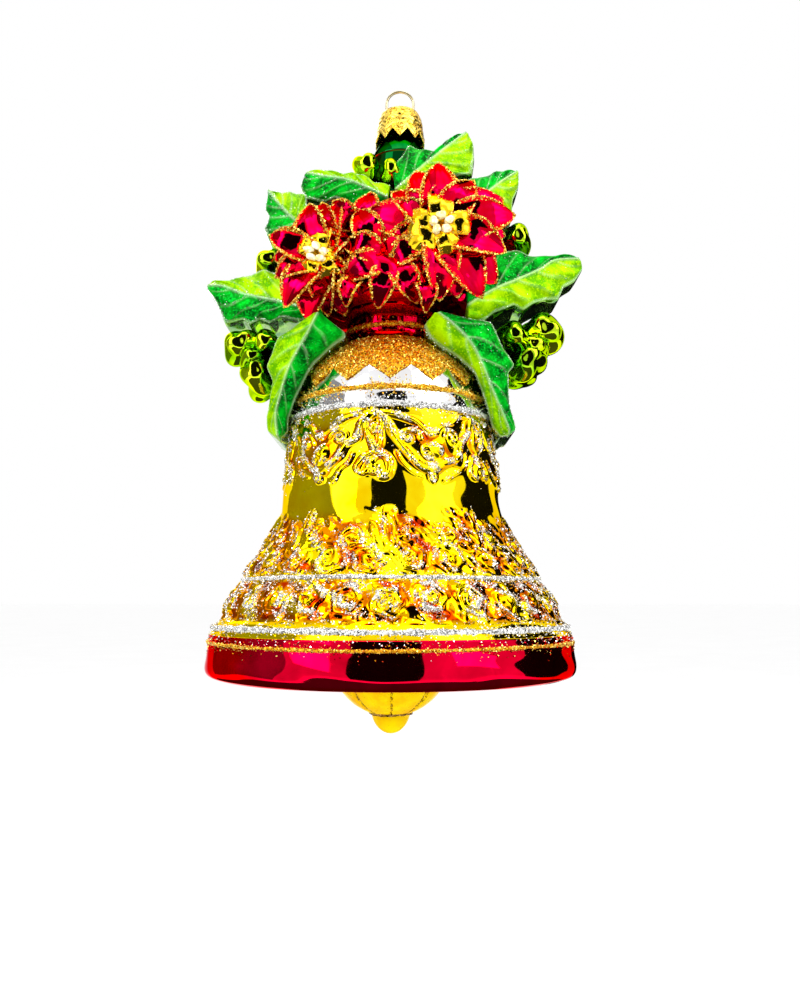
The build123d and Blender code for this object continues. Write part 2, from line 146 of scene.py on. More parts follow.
def piece(name, parts, body, material, nodes=(), smooth=True):
    """One object from one or more closed shells, riding on a body and standing for CAD nodes."""
    parts = [parts] if isinstance(parts, dict) else parts
    first = np.cumsum([0] + [len(p["points"]) for p in parts])
    quads = np.vstack([p["quads"] + k for p, k in zip(parts, first)])
    tris = np.vstack([p["tris"] + k for p, k in zip(parts, first)])
    mesh = bpy.data.meshes.new(name)
    mesh.vertices.add(first[-1])
    mesh.vertices.foreach_set("co", to_row(np.vstack([p["points"] for p in parts])).ravel())
    mesh.loops.add(quads.size + tris.size)
    mesh.loops.foreach_set("vertex_index", np.r_[quads.ravel(), tris.ravel()].astype(np.int32))
    mesh.polygons.add(len(quads) + len(tris))
    starts = np.r_[np.arange(len(quads)) * 4, quads.size + np.arange(len(tris)) * 3]
    mesh.polygons.foreach_set("loop_start", starts.astype(np.int32))
    mesh.polygons.foreach_set("use_smooth", np.full(len(starts), smooth))
    for key in parts[0]["values"]:
        layer = mesh.attributes.new(key, "FLOAT", "POINT")
        layer.data.foreach_set("value", np.concatenate([p["values"][key] for p in parts]).astype(np.float32))
    mesh.update(calc_edges=True)
    mesh.validate()
    made = bpy.data.objects.new(name, mesh)
    bpy.context.scene.collection.objects.link(made)
    mesh.materials.append(material)
    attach(made, body)
    if nodes:
        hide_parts(*nodes)

def sprinkle(name, places, size, body, foil):
    """A piece of loose grains, one at each place."""
    piece(name, grains(places, size), body, foil, smooth=False)


# ---------------------------------------------------------------- materials
class Finish:
    """A material under construction: a principled shader and the nodes that feed it."""

    def __init__(self, name, **sockets):
        self.material = bpy.data.materials.new(name)
        self.material.use_nodes = True
        self.tree = self.material.node_tree
        self.shader = self.tree.nodes["Principled BSDF"]
        for key, value in sockets.items():
            self.shader.inputs[key.replace("_", " ")].default_value = value
        self.place = self.add("ShaderNodeTexCoord").outputs["Object"]

    def add(self, kind, inputs=None, **settings):
        """A node with its settings, and its inputs by name or number: a socket is linked, a value is set."""
        made = self.tree.nodes.new(kind)
        for key, value in settings.items():
            setattr(made, key, value)
        for key, value in (inputs or {}).items():
            if isinstance(value, bpy.types.NodeSocket):
                self.tree.links.new(value, made.inputs[key])
            else:
                made.inputs[key].default_value = value
        return made

    def feed(self, socket, output):
        self.tree.links.new(output, self.shader.inputs[socket])
        return self

    def noise(self, scale, detail=2.0, distortion=0.0):
        """Smooth noise, with scale in waves per metre."""
        return self.add("ShaderNodeTexNoise", {"Vector": self.place, "Scale": scale, "Detail": detail,
                                               "Distortion": distortion}).outputs["Fac"]

    def flecks(self, size):
        """A number at random for each fleck, with flecks of that size in metres."""
        cells = self.add("ShaderNodeTexVoronoi", {"Vector": self.place, "Scale": 1 / size})
        return self.add("ShaderNodeSeparateColor", {"Color": cells.outputs["Color"]}).outputs[0]

    def value(self, name):
        """A value stored on the mesh."""
        return self.add("ShaderNodeAttribute", attribute_name=name).outputs["Fac"]

    def ramp(self, factor, *stops):
        """Colours or greys along a factor, as (place, colour)."""
        made = self.add("ShaderNodeValToRGB", {"Fac": factor})
        while len(made.color_ramp.elements) < len(stops):
            made.color_ramp.elements.new(0.5)
        for element, (at, colour) in zip(made.color_ramp.elements, stops):
            element.position = at
            element.color = colour if hasattr(colour, "__len__") else (colour, colour, colour, 1)
        return made.outputs["Color"]

    def math(self, operation, a, b=0.0):
        return self.add("ShaderNodeMath", {0: a, 1: b}, operation=operation).outputs[0]

    def mix(self, factor, a, b):
        """Two colours mixed. The node's colours are its seventh and eighth inputs and its third output."""
        made = self.add("ShaderNodeMix", data_type="RGBA")
        for key, value in ((0, factor), (6, a), (7, b)):
            if isinstance(value, bpy.types.NodeSocket):
                self.tree.links.new(value, made.inputs[key])
            else:
                made.inputs[key].default_value = value
        return made.outputs[2]

    def bump(self, height, depth, onto=None):
        """Relief of that depth in metres."""
        inputs = {"Height": height, "Distance": depth, "Strength": 1.0}
        if onto is not None:
            inputs["Normal"] = onto
        self.normal = self.add("ShaderNodeBump", inputs).outputs["Normal"]
        return self.feed("Normal", self.normal)


def lacquered_mirror(name, thin, thick, wobble=0.00012, roughness=0.035):
    """Silvered glass under lacquer that runs thicker in places, with the slight wobble of blown glass."""
    f = Finish(name, Metallic=1.0, Roughness=roughness, Specular_Tint=thin)
    f.lacquer = f.ramp(f.noise(140, 3.0, 0.4), (0.35, thin), (0.68, thick))
    f.feed("Base Color", f.lacquer)
    f.feed("Roughness", f.ramp(f.noise(900), (0.4, roughness), (0.8, roughness + 0.05)))
    return f.bump(f.noise(95, 1.0), wobble)


def glitter(name, *stops):
    """Loose glitter: each grain takes its colour from its own tint, and shines as bare metal foil."""
    f = Finish(name, Metallic=1.0, Roughness=0.16)
    tint = f.value("tint")
    f.feed("Base Color", f.ramp(tint, *stops))
    f.feed("Roughness", f.ramp(f.math("FRACT", f.math("MULTIPLY", tint, 7.0)), (0.0, 0.08), (1.0, 0.4)))
    return f.bump(f.noise(6000), 0.00002).material


def glue_bed(name, dark, light):
    """Glue filled with crushed glitter: a colour and a tilt for each fleck."""
    f = Finish(name, Metallic=0.35, Roughness=0.3, Specular_IOR_Level=0.1)
    shade = f.flecks(0.00034)
    f.feed("Base Color", f.ramp(shade, (0.15, dark), (0.6, light)))
    return f.bump(shade, 0.00035).material


GOLD, AMBER = (1.0, 0.8, 0.005, 1), (0.95, 0.62, 0.0, 1)
RED, WINE = (0.9, 0.0, 0.03, 1), (0.55, 0.0, 0.015, 1)
SCARLET, GARNET = (0.82, 0.0, 0.008, 1), (0.34, 0.0, 0.004, 1)
SILVER, PEWTER = (0.95, 0.95, 0.97, 1), (0.86, 0.84, 0.84, 1)
OLIVE, MOSS = (0.72, 0.9, 0.02, 1), (0.2, 0.5, 0.01, 1)
GREEN, BOTTLE = (0.01, 0.16, 0.025, 1), (0.0, 0.05, 0.01, 1)

red_mirror = lacquered_mirror("red_lacquer_over_silver", RED, WINE).material
silver_mirror = lacquered_mirror("silvered_glass", SILVER, PEWTER).material
olive_mirror = lacquered_mirror("olive_lacquer_over_silver", OLIVE, MOSS, 0.0002).material
green_mirror = lacquered_mirror("green_lacquer_over_silver", GREEN, BOTTLE).material
silver_glitter = glitter("silver_glitter", (0.0, (0.06, 0.06, 0.06, 1)), (0.2, (0.55, 0.55, 0.53, 1)),
                         (0.45, (1, 1, 1, 1)))
gold_glitter = glitter("gold_glitter", (0.0, (0.3, 0.08, 0.0, 1)), (0.3, (0.95, 0.45, 0.01, 1)),
                       (0.6, (1.0, 0.85, 0.2, 1)))
orange_glitter = glitter("orange_glitter", (0.0, (0.35, 0.03, 0.0, 1)), (0.5, (0.95, 0.2, 0.0, 1)),
                         (0.85, (1.0, 0.72, 0.1, 1)))
bronze_glitter = glitter("bronze_glitter", (0.0, (0.08, 0.03, 0.0, 1)), (0.6, (0.4, 0.2, 0.03, 1)),
                         (1.0, (0.95, 0.7, 0.3, 1)))
frost_glitter = glitter("frost_glitter", (0.0, (0.35, 0.5, 0.35, 1)), (0.4, (0.75, 0.85, 0.75, 1)),
                        (0.9, (1, 1, 1, 1)))
silver_bed = glue_bed("silver_glue", (0.14, 0.14, 0.14, 1), (0.95, 0.95, 0.93, 1))
gold_bed = glue_bed("gold_glue", (0.35, 0.07, 0.0, 1), (0.95, 0.5, 0.01, 1))
bronze_bed = glue_bed("bronze_glue", (0.2, 0.1, 0.02, 1), (0.6, 0.36, 0.1, 1))


def gold_relief():
    """Gold mirror that turns to orange and red-brown where the lacquer pools beside the relief, which also
    paints the shade in those hollows.
    """
    f = lacquered_mirror("gold_lacquer_over_silver", GOLD, AMBER)
    # the orange to red-brown: lacquer pooled in the hollows, and painted shade there
    pool_and_shade_colour = f.ramp(f.noise(260, 3.0, 0.6), (0.4, (0.95, 0.3, 0.0, 1)), (0.6, (0.5, 0.02, 0.0, 1)))
    f.feed("Base Color", f.mix(f.value("pool_and_shade"), f.lacquer, pool_and_shade_colour))
    return f.material


def crown_glass():
    """Red lacquer low down, green towards the neck."""
    f = lacquered_mirror("crown_lacquer_over_silver", RED, WINE)
    f.feed("Base Color", f.mix(f.value("green"), f.lacquer, (0.0, 0.05, 0.008, 1)))
    return f.material


def petal_glass():
    """Red lacquer, with a painted pink highlight along the ridges of a petal."""
    f = lacquered_mirror("petal_lacquer_over_silver", SCARLET, GARNET, 0.00016, 0.06)
    # pink along the ridges of the petals and the folds of the cushions: painted highlight
    f.feed("Base Color", f.mix(f.math("MULTIPLY", f.value("ridge"), 0.7), f.lacquer, (0.95, 0.0, 0.1, 1)))
    return f.material


def leaf_glass():
    """A leaf: frosted deep green and yellow-green halves, pale veins, and green mirror down its sides."""
    f = Finish("frosted_leaf_glass", Metallic=0.25, Roughness=0.3, Specular_IOR_Level=0.02)
    shade = f.flecks(0.00042)
    mottle = f.noise(260, 4.0)
    frosted = f.ramp(shade, (0.6, 0.0), (1.0, 0.7))
    deep = f.ramp(mottle, (0.4, (0.0, 0.08, 0.004, 1)), (0.64, (0.0, 0.42, 0.01, 1)))
    deep = f.mix(frosted, deep, (0.0, 0.62, 0.03, 1))
    light = f.ramp(mottle, (0.38, (0.1, 0.36, 0.0, 1)), (0.64, (0.36, 0.68, 0.0, 1)))
    light = f.mix(frosted, light, (0.45, 0.8, 0.0, 1))
    halves = f.mix(f.value("half"), deep, light)
    veined = f.mix(f.math("MULTIPLY", f.value("vein"), 0.75), halves, (0.5, 0.78, 0.4, 1))
    side = f.ramp(f.noise(200, 2.0), (0.35, (0.0, 0.2, 0.03, 1)), (0.7, (0.3, 0.62, 0.02, 1)))
    face = f.value("face")
    f.feed("Base Color", f.mix(face, side, veined))
    f.feed("Metallic", f.ramp(face, (0.2, 1.0), (0.8, 0.3)))
    f.feed("Roughness", f.ramp(face, (0.2, 0.05), (0.8, 0.36)))
    f.bump(shade, 0.00012)
    return f.material


def satin_gold():
    """Golden lacquer with a satin sheen on the clapper."""
    f = Finish("satin_gold_lacquer", Metallic=0.25, Roughness=0.25, Specular_IOR_Level=0.05)
    f.feed("Base Color", f.ramp(f.noise(220, 3.0), (0.3, (0.95, 0.5, 0.0, 1)), (0.7, (1.0, 0.74, 0.0, 1))))
    f.feed("Roughness", f.ramp(f.noise(700), (0.3, 0.25), (0.8, 0.42)))
    return f.bump(f.noise(1500, 3.0), 0.00003).material


def gold_petal():
    """Bright gold lacquer with a worn, wrinkled skin."""
    f = lacquered_mirror("gold_petal_lacquer", (1.0, 0.78, 0.02, 1), (0.9, 0.5, 0.01, 1), 0.0002, 0.08)
    return f.material


def pearl():
    """Pearly lacquer, creamier in places."""
    f = Finish("pearl_lacquer", Metallic=0.3, Roughness=0.12, Coat_Weight=0.8, Coat_Roughness=0.03)
    f.feed("Base Color", f.ramp(f.noise(600), (0.35, (0.95, 0.8, 0.3, 1)), (0.65, (1.0, 0.97, 0.85, 1))))
    return f.bump(f.noise(400), 0.00005).material


def pressed_gold():
    """Thin pressed sheet with a worn gold plating and a stamped leaf pattern."""
    f = Finish("pressed_gold_sheet", Metallic=1.0, Roughness=0.22)
    stamp = f.noise(520, 2.0, 1.2)
    f.feed("Base Color", f.ramp(stamp, (0.38, (0.7, 0.36, 0.02, 1)), (0.6, (1.0, 0.7, 0.1, 1))))
    f.feed("Roughness", f.ramp(f.noise(1600), (0.3, 0.14), (0.8, 0.34)))
    return f.bump(f.ramp(stamp, (0.42, 0.0), (0.52, 1.0)), 0.00015).material


def plated_wire():
    """Bright drawn wire with faint die lines and dull spots."""
    f = Finish("plated_wire", Metallic=1.0, Roughness=0.2)
    tarnish = f.noise(900, 3.0)
    f.feed("Base Color", f.ramp(tarnish, (0.35, (0.38, 0.31, 0.16, 1)), (0.65, (0.66, 0.58, 0.38, 1))))
    f.feed("Roughness", f.ramp(f.noise(2500), (0.3, 0.12), (0.8, 0.32)))
    return f.bump(f.noise(5000), 0.00001).material


def cement():
    """Rough plaster."""
    f = Finish("plaster_cement", Roughness=0.85)
    f.feed("Base Color", f.ramp(f.noise(700, 5.0), (0.3, (0.6, 0.58, 0.52, 1)), (0.7, (0.85, 0.83, 0.77, 1))))
    return f.bump(f.noise(2200, 5.0), 0.00015).material


gold_mirror, crown_mirror = gold_relief(), crown_glass()
petal_mirror, leaf_mirror = petal_glass(), leaf_glass()
satin, petal_gold, pearl_bead, cap_gold = satin_gold(), gold_petal(), pearl(), pressed_gold()
wire_metal, plaster = plated_wire(), cement()


# ---------------------------------------------------------------- the bell
RIM = [(47.0, 0.0), (49.3, 1.0), (50.0, 3.4), (49.4, 7.5), (48.9, 11.5)]
BODY = [(48.9, 11.5), (48.3, 12.6), (47.0, 14.4), (45.2, 16.2), (44.6, 18.5), (42.9, 21.7), (40.5, 25.8),
        (38.6, 28.6), (35.8, 32.6), (34.7, 34.6), (32.6, 38.4), (30.9, 42.2), (30.0, 46.5), (29.6, 51.0),
        (28.9, 56.0), (28.2, 61.5), (27.9, 69.5)]
FLANGE = [(27.9, 69.5), (27.5, 70.6), (26.9, 73.0), (26.6, 73.8), (26.2, 74.6)]
DOME = [(26.2, 74.6), (24.9, 79.0), (22.0, 84.0), (17.6, 88.3), (12.6, 91.3)]
COLLAR = [(12.6, 91.3), (12.2, 92.4), (12.0, 93.6), (12.3, 95.4), (12.6, 97.5)]
WALL = 1.2


def radius_at(outline, z):
    """The outline's radius at a height, along a smooth curve through its points."""
    r, h = spline(outline, 400).T
    return np.interp(z, h, r)


def turned(outline, rows, columns, relief=None, wall=WALL, inner_rows=10):
    """A glass wall turned about the bell's axis. relief(angle, z) stands it out; the inside stays smooth."""
    r, z = even(spline(outline, 400), rows).T
    angle = np.linspace(0, TAU, columns, endpoint=False)
    lift, values = relief(*np.broadcast_arrays(angle, z[:, None])) if relief else (0.0, {})
    outer = (r[:, None] + lift) * np.ones(columns)
    r_in, z_in = even(spline(outline, 400), inner_rows)[::-1].T
    radius = np.vstack([outer, np.broadcast_to((r_in - wall)[:, None], (inner_rows, columns))])
    height = np.broadcast_to(np.r_[z, z_in][:, None], radius.shape)
    points = np.stack([radius * np.sin(angle), -radius * np.cos(angle), height], -1)
    padded = {k: np.vstack([v, np.zeros((inner_rows, columns))]) for k, v in values.items()}
    made = grid(points, wrap_rows=True, wrap_columns=True, **padded)
    made["skin"], made["shine"] = points[:rows], values.get("sparkle")
    return made


def drift(angle, z, seed, waves):
    """A slow irregular field between -1 and 1: three products of sines round the bell and up it."""
    picks = np.random.default_rng(seed)
    total = 0.0
    for _ in range(3):
        around = picks.integers(waves // 2, waves)
        phase, rise = picks.uniform(0, TAU), picks.uniform(0.6, 1.4)
        across = np.sin(around * angle + phase + 0.5 * rise * z)
        total = total + across * np.sin(rise * waves * z / 70 + phase * 2)
    return total / 1.8


class Ring:
    """Motifs repeated round the bell: a point's nearest motif, and its place across and up from it."""

    def __init__(self, count, z, shift=0.0, jitter=0.0):
        self.count, self.z, self.shift = count, z, shift
        self.wander = rng.uniform(-jitter, jitter, count)
        self.size = rng.uniform(1 - jitter / 4, 1 + jitter / 4, count)
        self.spin = rng.uniform(0, TAU, count)

    def local(self, angle, z, radius):
        """How far across and up a point is from its nearest motif, and that motif's number."""
        step = TAU / self.count
        angle = angle + 0.6 * drift(angle, z, 3, 40) / radius
        z = z + 0.6 * drift(angle, z, 4, 40)
        nearest = np.round(angle / step - self.shift)
        k = nearest.astype(int) % self.count
        return (angle - (nearest + self.shift) * step) * radius, z - self.z - self.wander[k], k


def rose(across, up, size, spin):
    """Height and glitter of a rose: a low dome with a spiral of petals wound out from its bud.

    The spiral is a cosine of distance and bearing together; five shallow lobes notch the edge.
    """
    bearing = np.arctan2(up, across) + spin
    out = np.hypot(across, up) / size / (1 + 0.09 * np.cos(5 * bearing))
    dome = np.sqrt(np.clip(1 - out ** 2, 0, 1))
    petals = 0.5 + 0.5 * np.cos(TAU * 1.9 * out - bearing)
    bud = np.exp(-(out / 0.22) ** 2)
    height = dome * (0.35 + 0.75 * petals) + 0.25 * bud
    sparkle = np.clip(petals * 1.6 - 0.7, 0, 1) * (out > 0.35) * (out < 0.98)
    return height, sparkle


def leaf_form(across, up, length, width, lean=0.0):
    """A pointed leaf standing up from its foot: an arched blade with a groove for the midrib."""
    x = across * np.cos(lean) - up * np.sin(lean)
    y = across * np.sin(lean) + up * np.cos(lean)
    along = np.clip(y / length, 0, 1)
    half = width * np.sin(np.pi * along ** 0.8) ** 0.8 + 1e-6
    side = np.abs(x) / half
    inside = (side < 1) & (y > 0) & (y < length)
    height = np.where(inside, (1 - side ** 2) * (1 - 0.5 * np.exp(-(x / 0.45) ** 2)), 0)
    edge = inside * np.exp(-((side - 0.8) / 0.2) ** 2)
    return height, edge


def stroke(across, up, points, count=60):
    """Distance to a curve through the points."""
    path = spline(points, count)
    best = np.full(across.shape, 1e9)
    for x, y in path:
        best = np.minimum(best, np.hypot(across - x, up - y))
    return best


rose_low = Ring(28, 20.6, 0.0, 0.5)
rose_mid = Ring(24, 30.0, 0.5, 0.6)
rose_high = Ring(18, 36.0, 0.25, 0.9)
sprays = Ring(9, 31.5, 0.0, 0.4)
dots_low = Ring(56, 16.9, 0.5, 0.1)


def lower_relief(angle, z):
    """A row of roses, with beads under it."""
    radius = radius_at(BODY, z)
    a, b, k = rose_low.local(angle, z, radius)
    height, sparkle = rose(a, b, 4.3 * rose_low.size[k], rose_low.spin[k])
    a, b, k = dots_low.local(angle, z, radius)
    bead = np.clip(1 - (np.hypot(a, b) / 1.5) ** 2, 0, 1)
    zone = np.clip((z - 14.6) / 1.5, 0, 1) * np.clip((25.6 - z) / 1.0, 0, 1)
    lift = np.maximum(1.15 * height, 0.5 * bead) + 0.22 * drift(angle, z, 5, 60) * zone
    creases = 0.5 * (height > 0.3) * np.clip(drift(angle, z, 6, 50), 0, 1)
    # hollow takes in the dips between the roses and the creases on them: lacquer pools there, and the gold is
    # darkened there as painted shade
    hollow = np.clip(1.15 - 1.3 * height, 0, 1) + creases
    pool_and_shade = np.clip(1.6 * hollow * (0.7 + 0.9 * drift(angle, z, 7, 24)), 0, 1) * zone
    clumps = np.clip(0.4 + 1.6 * drift(angle, z, 8, 36), 0.02, 1)
    return lift, {"pool_and_shade": pool_and_shade, "sparkle": (sparkle + 0.1 * zone) * clumps}


SWAG = [(2.0, 66.5), (4.6, 62.3), (8.0, 57.6), (11.5, 54.6), (15.2, 53.4)]
SWAG_HEAD = [(2.4, 67.2), (6.5, 67.0), (10.5, 65.4), (13.4, 62.6), (15.2, 62.0)]
DROP = [(0.0, 67.5), (1.7, 65.0), (1.9, 62.0), (0.8, 59.4), (0.0, 58.0)]
CURL = [(0.0, 57.4), (2.2, 56.2), (4.0, 54.2), (3.8, 52.2), (2.2, 51.8), (1.6, 53.2)]
VOLUTE_ARMS = [(2.9 - 0.27 * k, 0.75 * k) for k in range(10)]
VOLUTE = [(9.2 + arm * np.cos(turn), 61.2 + arm * np.sin(turn)) for arm, turn in VOLUTE_ARMS]
TASSEL = [(15.2, 53.4), (14.5, 51.6), (15.2, 50.2)]
STRAY = [(5.0, 57.0), (6.8, 54.0), (9.4, 51.6), (12.0, 50.8)]
# the scrolls of half a panel: line, width, height and share of glitter; and its blooms: place and size
SCROLLS = ((SWAG, 0.95, 1.0, 1.0), (SWAG_HEAD, 0.7, 0.7, 0.8), (DROP, 0.75, 0.9, 0.6), (CURL, 0.7, 0.8, 0.5),
           (VOLUTE, 0.6, 0.8, 1.0), (TASSEL, 0.7, 0.8, 0.9), (STRAY, 0.5, 0.5, 0.3))
BLOOMS = ((15.2, 57.4, 2.7), (0.0, 54.2, 2.2), (0.0, 62.8, 1.3))
PANEL, PANEL_TURN, PANEL_R = TAU / 6, 0.14, 29.0
# the leaves of a spray: lean, length and width
SPRAY = ((0.0, 12.5, 2.2), (0.55, 9.5, 1.8), (-0.55, 9.5, 1.8), (1.05, 8.0, 1.5), (-1.05, 8.0, 1.5))


def upper_relief(angle, z):
    """Roses and leaf sprays round the waist, and above them six panels of swags, scrolls and drops."""
    radius = radius_at(BODY, z)
    low = np.clip((44 - z) / 2, 0, 1)
    lift, glit = np.zeros(z.shape), np.zeros(z.shape)
    for ring, size in ((rose_mid, 4.4), (rose_high, 3.5)):
        a, b, k = ring.local(angle, z, radius)
        height, sparkle = rose(a, b, size * ring.size[k], ring.spin[k])
        glit = np.where(height * 1.25 > lift, sparkle, glit)
        lift = np.maximum(lift, 1.25 * height)
    a, b, k = sprays.local(angle, z, radius)
    for lean, length, width in SPRAY:
        height, edge = leaf_form(a, b, length * sprays.size[k], width, lean)
        glit = np.where(height * 1.2 > lift, edge, glit)
        lift = np.maximum(lift, 1.2 * height)
    lift, glit = lift * low, glit * low
    turned_by = angle + PANEL_TURN + 0.9 * drift(angle, z, 16, 14) / radius
    fold = np.abs((turned_by + PANEL / 2) % PANEL - PANEL / 2) * PANEL_R
    height = z + 0.8 * drift(angle, z, 17, 16)
    bulge = 0.5 * np.exp(-((fold - 15.2) ** 2 + (height - 58) ** 2) / 18)
    for points, width, rise, shine in SCROLLS:
        away = stroke(fold, height, points)
        ridge = np.exp(-(away / width) ** 2)
        lift = np.maximum(lift, rise * ridge)
        glit = np.maximum(glit, shine * (ridge > 0.35))
    for x, y, size in BLOOMS:
        out = np.hypot(fold - x, height - y) / size
        lobes = 0.75 + 0.25 * np.cos(5 * np.arctan2(height - y, fold - x) + 0.3)
        bloom = np.sqrt(np.clip(1 - out ** 2, 0, 1)) * lobes
        lift = np.maximum(lift, 1.2 * bloom)
        glit = np.maximum(glit, (out < 1) * (out > 0.5) * 0.8)
    lift = lift + bulge * (z > 50)
    dense = np.clip((42.5 + 2 * drift(angle, z, 9, 12) - z) / 3, 0, 1) * np.clip((z - 26.5) / 1.5, 0, 1)
    crumple = 0.3 * drift(angle, z, 10, 60) * dense
    scrolls = np.exp(-((z - 59.5) / 8.5) ** 4)
    beside = np.clip(4 * lift * (0.6 - lift), 0, 1)
    # the dips of the dense band and the slopes beside the scrolls: lacquer pools there, and the gold is
    # darkened there as painted shade
    hollow = np.clip(1.5 - 0.9 * lift, 0, 1) * dense + 3.0 * scrolls * beside
    patch = np.clip(0.9 + 1.2 * drift(angle, z, 11, 22), 0, 1)
    fade = np.clip((z - 26.2) / 0.8, 0, 1) * np.clip((68.8 - z) / 0.8, 0, 1)
    dent = 0.22 * drift(angle, z, 12, 14) * np.clip((z - 38) / 4, 0, 1)
    clumps = np.clip(0.4 + 1.5 * drift(angle, z, 13, 36), 0.02, 1)
    sparkle = (glit + 0.1 * dense + 0.03 * scrolls) * clumps * fade
    return (lift + crumple + dent) * fade, {"pool_and_shade": np.clip(hollow * patch, 0, 1), "sparkle": sparkle}


WAIST_Z = 25.8
profile = even(spline(BODY, 600), 600)
lower_outline = profile[profile[:, 1] <= WAIST_Z][::12]
lower_outline = np.vstack([lower_outline, [radius_at(BODY, WAIST_Z), WAIST_Z]])
upper_outline = np.vstack([lower_outline[-1:], profile[profile[:, 1] > WAIST_Z + 0.5][::12], profile[-1:]])
rose_wall = turned(lower_outline, 94, 640, lower_relief)
scroll_wall = turned(upper_outline, 136, 520, upper_relief)
piece("bell_body_roses", rose_wall, "bell", gold_mirror, ["bell_body"])
piece("bell_body_scrolls", scroll_wall, "bell", gold_mirror, ["bell_body"])
for name, wall, count in (("roses_glitter", rose_wall, 20000), ("scrolls_glitter", scroll_wall, 30000)):
    places = scatter(wall["skin"], wall["shine"], count)
    sprinkle(name, places, 0.34, "bell", silver_glitter)


def rim_relief(angle, z):
    """The slight dips and lumps of hand-blown glass."""
    return 0.22 * drift(angle, z, 14, 16) * np.clip(z / 2, 0, 1) * np.clip((11 - z) / 1.5, 0, 1), {}


piece("rim_glass", turned(RIM, 40, 360, rim_relief), "bell", red_mirror, ["rim_band"])


FROST_POINTS = 14

def dome_relief(angle, z):
    """Shallow windows pressed round the foot of the dome, between the points of the frosting."""
    fold = np.abs((angle / TAU * FROST_POINTS + 0.5) % 1 - 0.5) * 2
    window = np.exp(-((z - 78.6) / 2.2) ** 2) * np.clip(1 - fold ** 2, 0, 1)
    return 0.12 * drift(angle, z, 15, 12) * (z > 70) - 0.35 * window, {}


dome_wall = turned(FLANGE[:-1] + DOME, 64, 280, dome_relief)
piece("dome_glass", dome_wall, "bell", silver_mirror, ["bell_dome"])
piece("collar_glass", turned(COLLAR, 24, 180), "bell", red_mirror, ["bell_collar"])


# ---------------------------------------------------------------- glitter trims
def bead(radius, z, thick, columns=400, around=12):
    """A ring of glue: a small circle carried round the axis, swelling and thinning a little at random."""
    ring = np.linspace(0, TAU, columns, endpoint=False)[:, None]
    turn = np.linspace(0, TAU, around, endpoint=False)
    swell = thick * (1 + 0.16 * rng.normal(size=(columns, around)))
    uneven = 0.85 + 0.25 * np.sin(17 * ring) * np.sin(29 * ring + radius)
    swell = (swell + np.roll(swell, 1, 0)) / 2 * uneven
    r = radius + swell * np.maximum(np.cos(turn), -0.4)
    up = z + swell * np.sin(turn) + 0.12 * np.sin(3 * ring + radius)
    points = np.stack([r * np.sin(ring), -r * np.cos(ring), up], -1)
    made = grid(points, wrap_rows=True, wrap_columns=True)
    made["skin"], made["shine"] = points, np.cos(turn) > -0.35
    return made


# for each node: radius, height and thickness of the bead, its grains, strays beside it, glue and glitter
TRIMS = {
    "trim_rim_gold": (49.2, 9.3, 0.42, 6000, 900, gold_bed, gold_glitter),
    "trim_rim_silver": (47.7, 13.2, 0.85, 12000, 2800, silver_bed, silver_glitter),
    "trim_waist_silver": (40.5, 25.8, 0.5, 7000, 3600, silver_bed, silver_glitter),
    "trim_shoulder_silver": (27.8, 69.5, 0.8, 9000, 2600, silver_bed, silver_glitter),
    "trim_dome_gold": (26.4, 74.4, 0.65, 8000, 2200, gold_bed, gold_glitter),
    "trim_collar_gold": (12.4, 95.0, 0.7, 4200, 500, gold_bed, orange_glitter),
}
outline = np.vstack([RIM, BODY[1:], FLANGE[1:], DOME[1:], COLLAR[1:]])
for name, (radius, z, thick, count, strays, glue, foil) in TRIMS.items():
    ring = bead(radius, z, thick)
    around, spread = rng.uniform(0, TAU, strays), rng.normal(0, 1.5 * thick + 0.4, strays)
    stray_r = np.interp(z + spread, outline[:, 1], outline[:, 0]) + 0.08
    strewn = np.stack([stray_r * np.sin(around), -stray_r * np.cos(around), z + spread], -1)
    shine = np.broadcast_to(ring["shine"], ring["skin"].shape[:2])
    piece(name + "_glue", ring, "bell", glue, [name])
    places = np.vstack([scatter(ring["skin"], shine, count), strewn])
    sprinkle(name + "_grains", places, 0.31, "bell", foil)

FROST_FOOT, FROST_HEAD, FROST_TOOTH = 76.6, 91.6, 4.4
ORANGE_FOOT, ORANGE_SPREAD = 79.0, 12


def frosting():
    """Glue over the dome: rows from a zigzag foot up to the collar, just proud of the glass, closed inside."""
    columns, rows = FROST_POINTS * 30, 60
    angle = np.linspace(0, TAU, columns, endpoint=False)
    tooth = np.abs((angle / TAU * FROST_POINTS + 0.5) % 1 - 0.5) * 2
    edge = FROST_FOOT + FROST_TOOTH * tooth ** 0.9 + 0.25 * np.sin(23 * angle) * np.sin(9 * angle)
    up = np.linspace(0, 1, rows)[:, None]
    z = edge + up * (FROST_HEAD - edge)
    proud = 0.32 * np.clip(up * 14, 0.1, 1) + 0.05 * rng.normal(size=z.shape)
    r = radius_at(DOME, z) + proud
    r_in = radius_at(DOME, z) - 0.1
    radius, height = np.vstack([r, r_in[::-6]]), np.vstack([z, z[::-6]])
    points = np.stack([radius * np.sin(angle), -radius * np.cos(angle), height], -1)
    made = grid(points, wrap_rows=True, wrap_columns=True)
    made["skin"] = points[:rows]
    return made


frost = frosting()
piece("dome_frosting_glue", frost, "bell", gold_bed, ["dome_frosting"])
skin = frost["skin"]
middle = np.exp(-(skin[..., 0] / ORANGE_SPREAD) ** 2) * np.clip((skin[..., 2] - ORANGE_FOOT) / 4, 0, 1)
places = scatter(skin, middle + 0.06, 9000)
sprinkle("dome_frosting_orange", places, 0.36, "bell", orange_glitter)
places = scatter(skin, 1.15 - middle, 17000)
sprinkle("dome_frosting_gold", places, 0.36, "bell", gold_glitter)


# ---------------------------------------------------------------- the crown's glass
CORE = [(12.6, 97.5), (21.5, 98.8), (24.5, 101.5), (24.0, 108.0), (20.5, 115.0), (15.0, 122.0), (11.5, 129.0),
        (9.6, 138.0), (8.8, 143.0), (8.4, 146.5)]
CORE_FOOT, CORE_HEAD = 97.5, 146.5


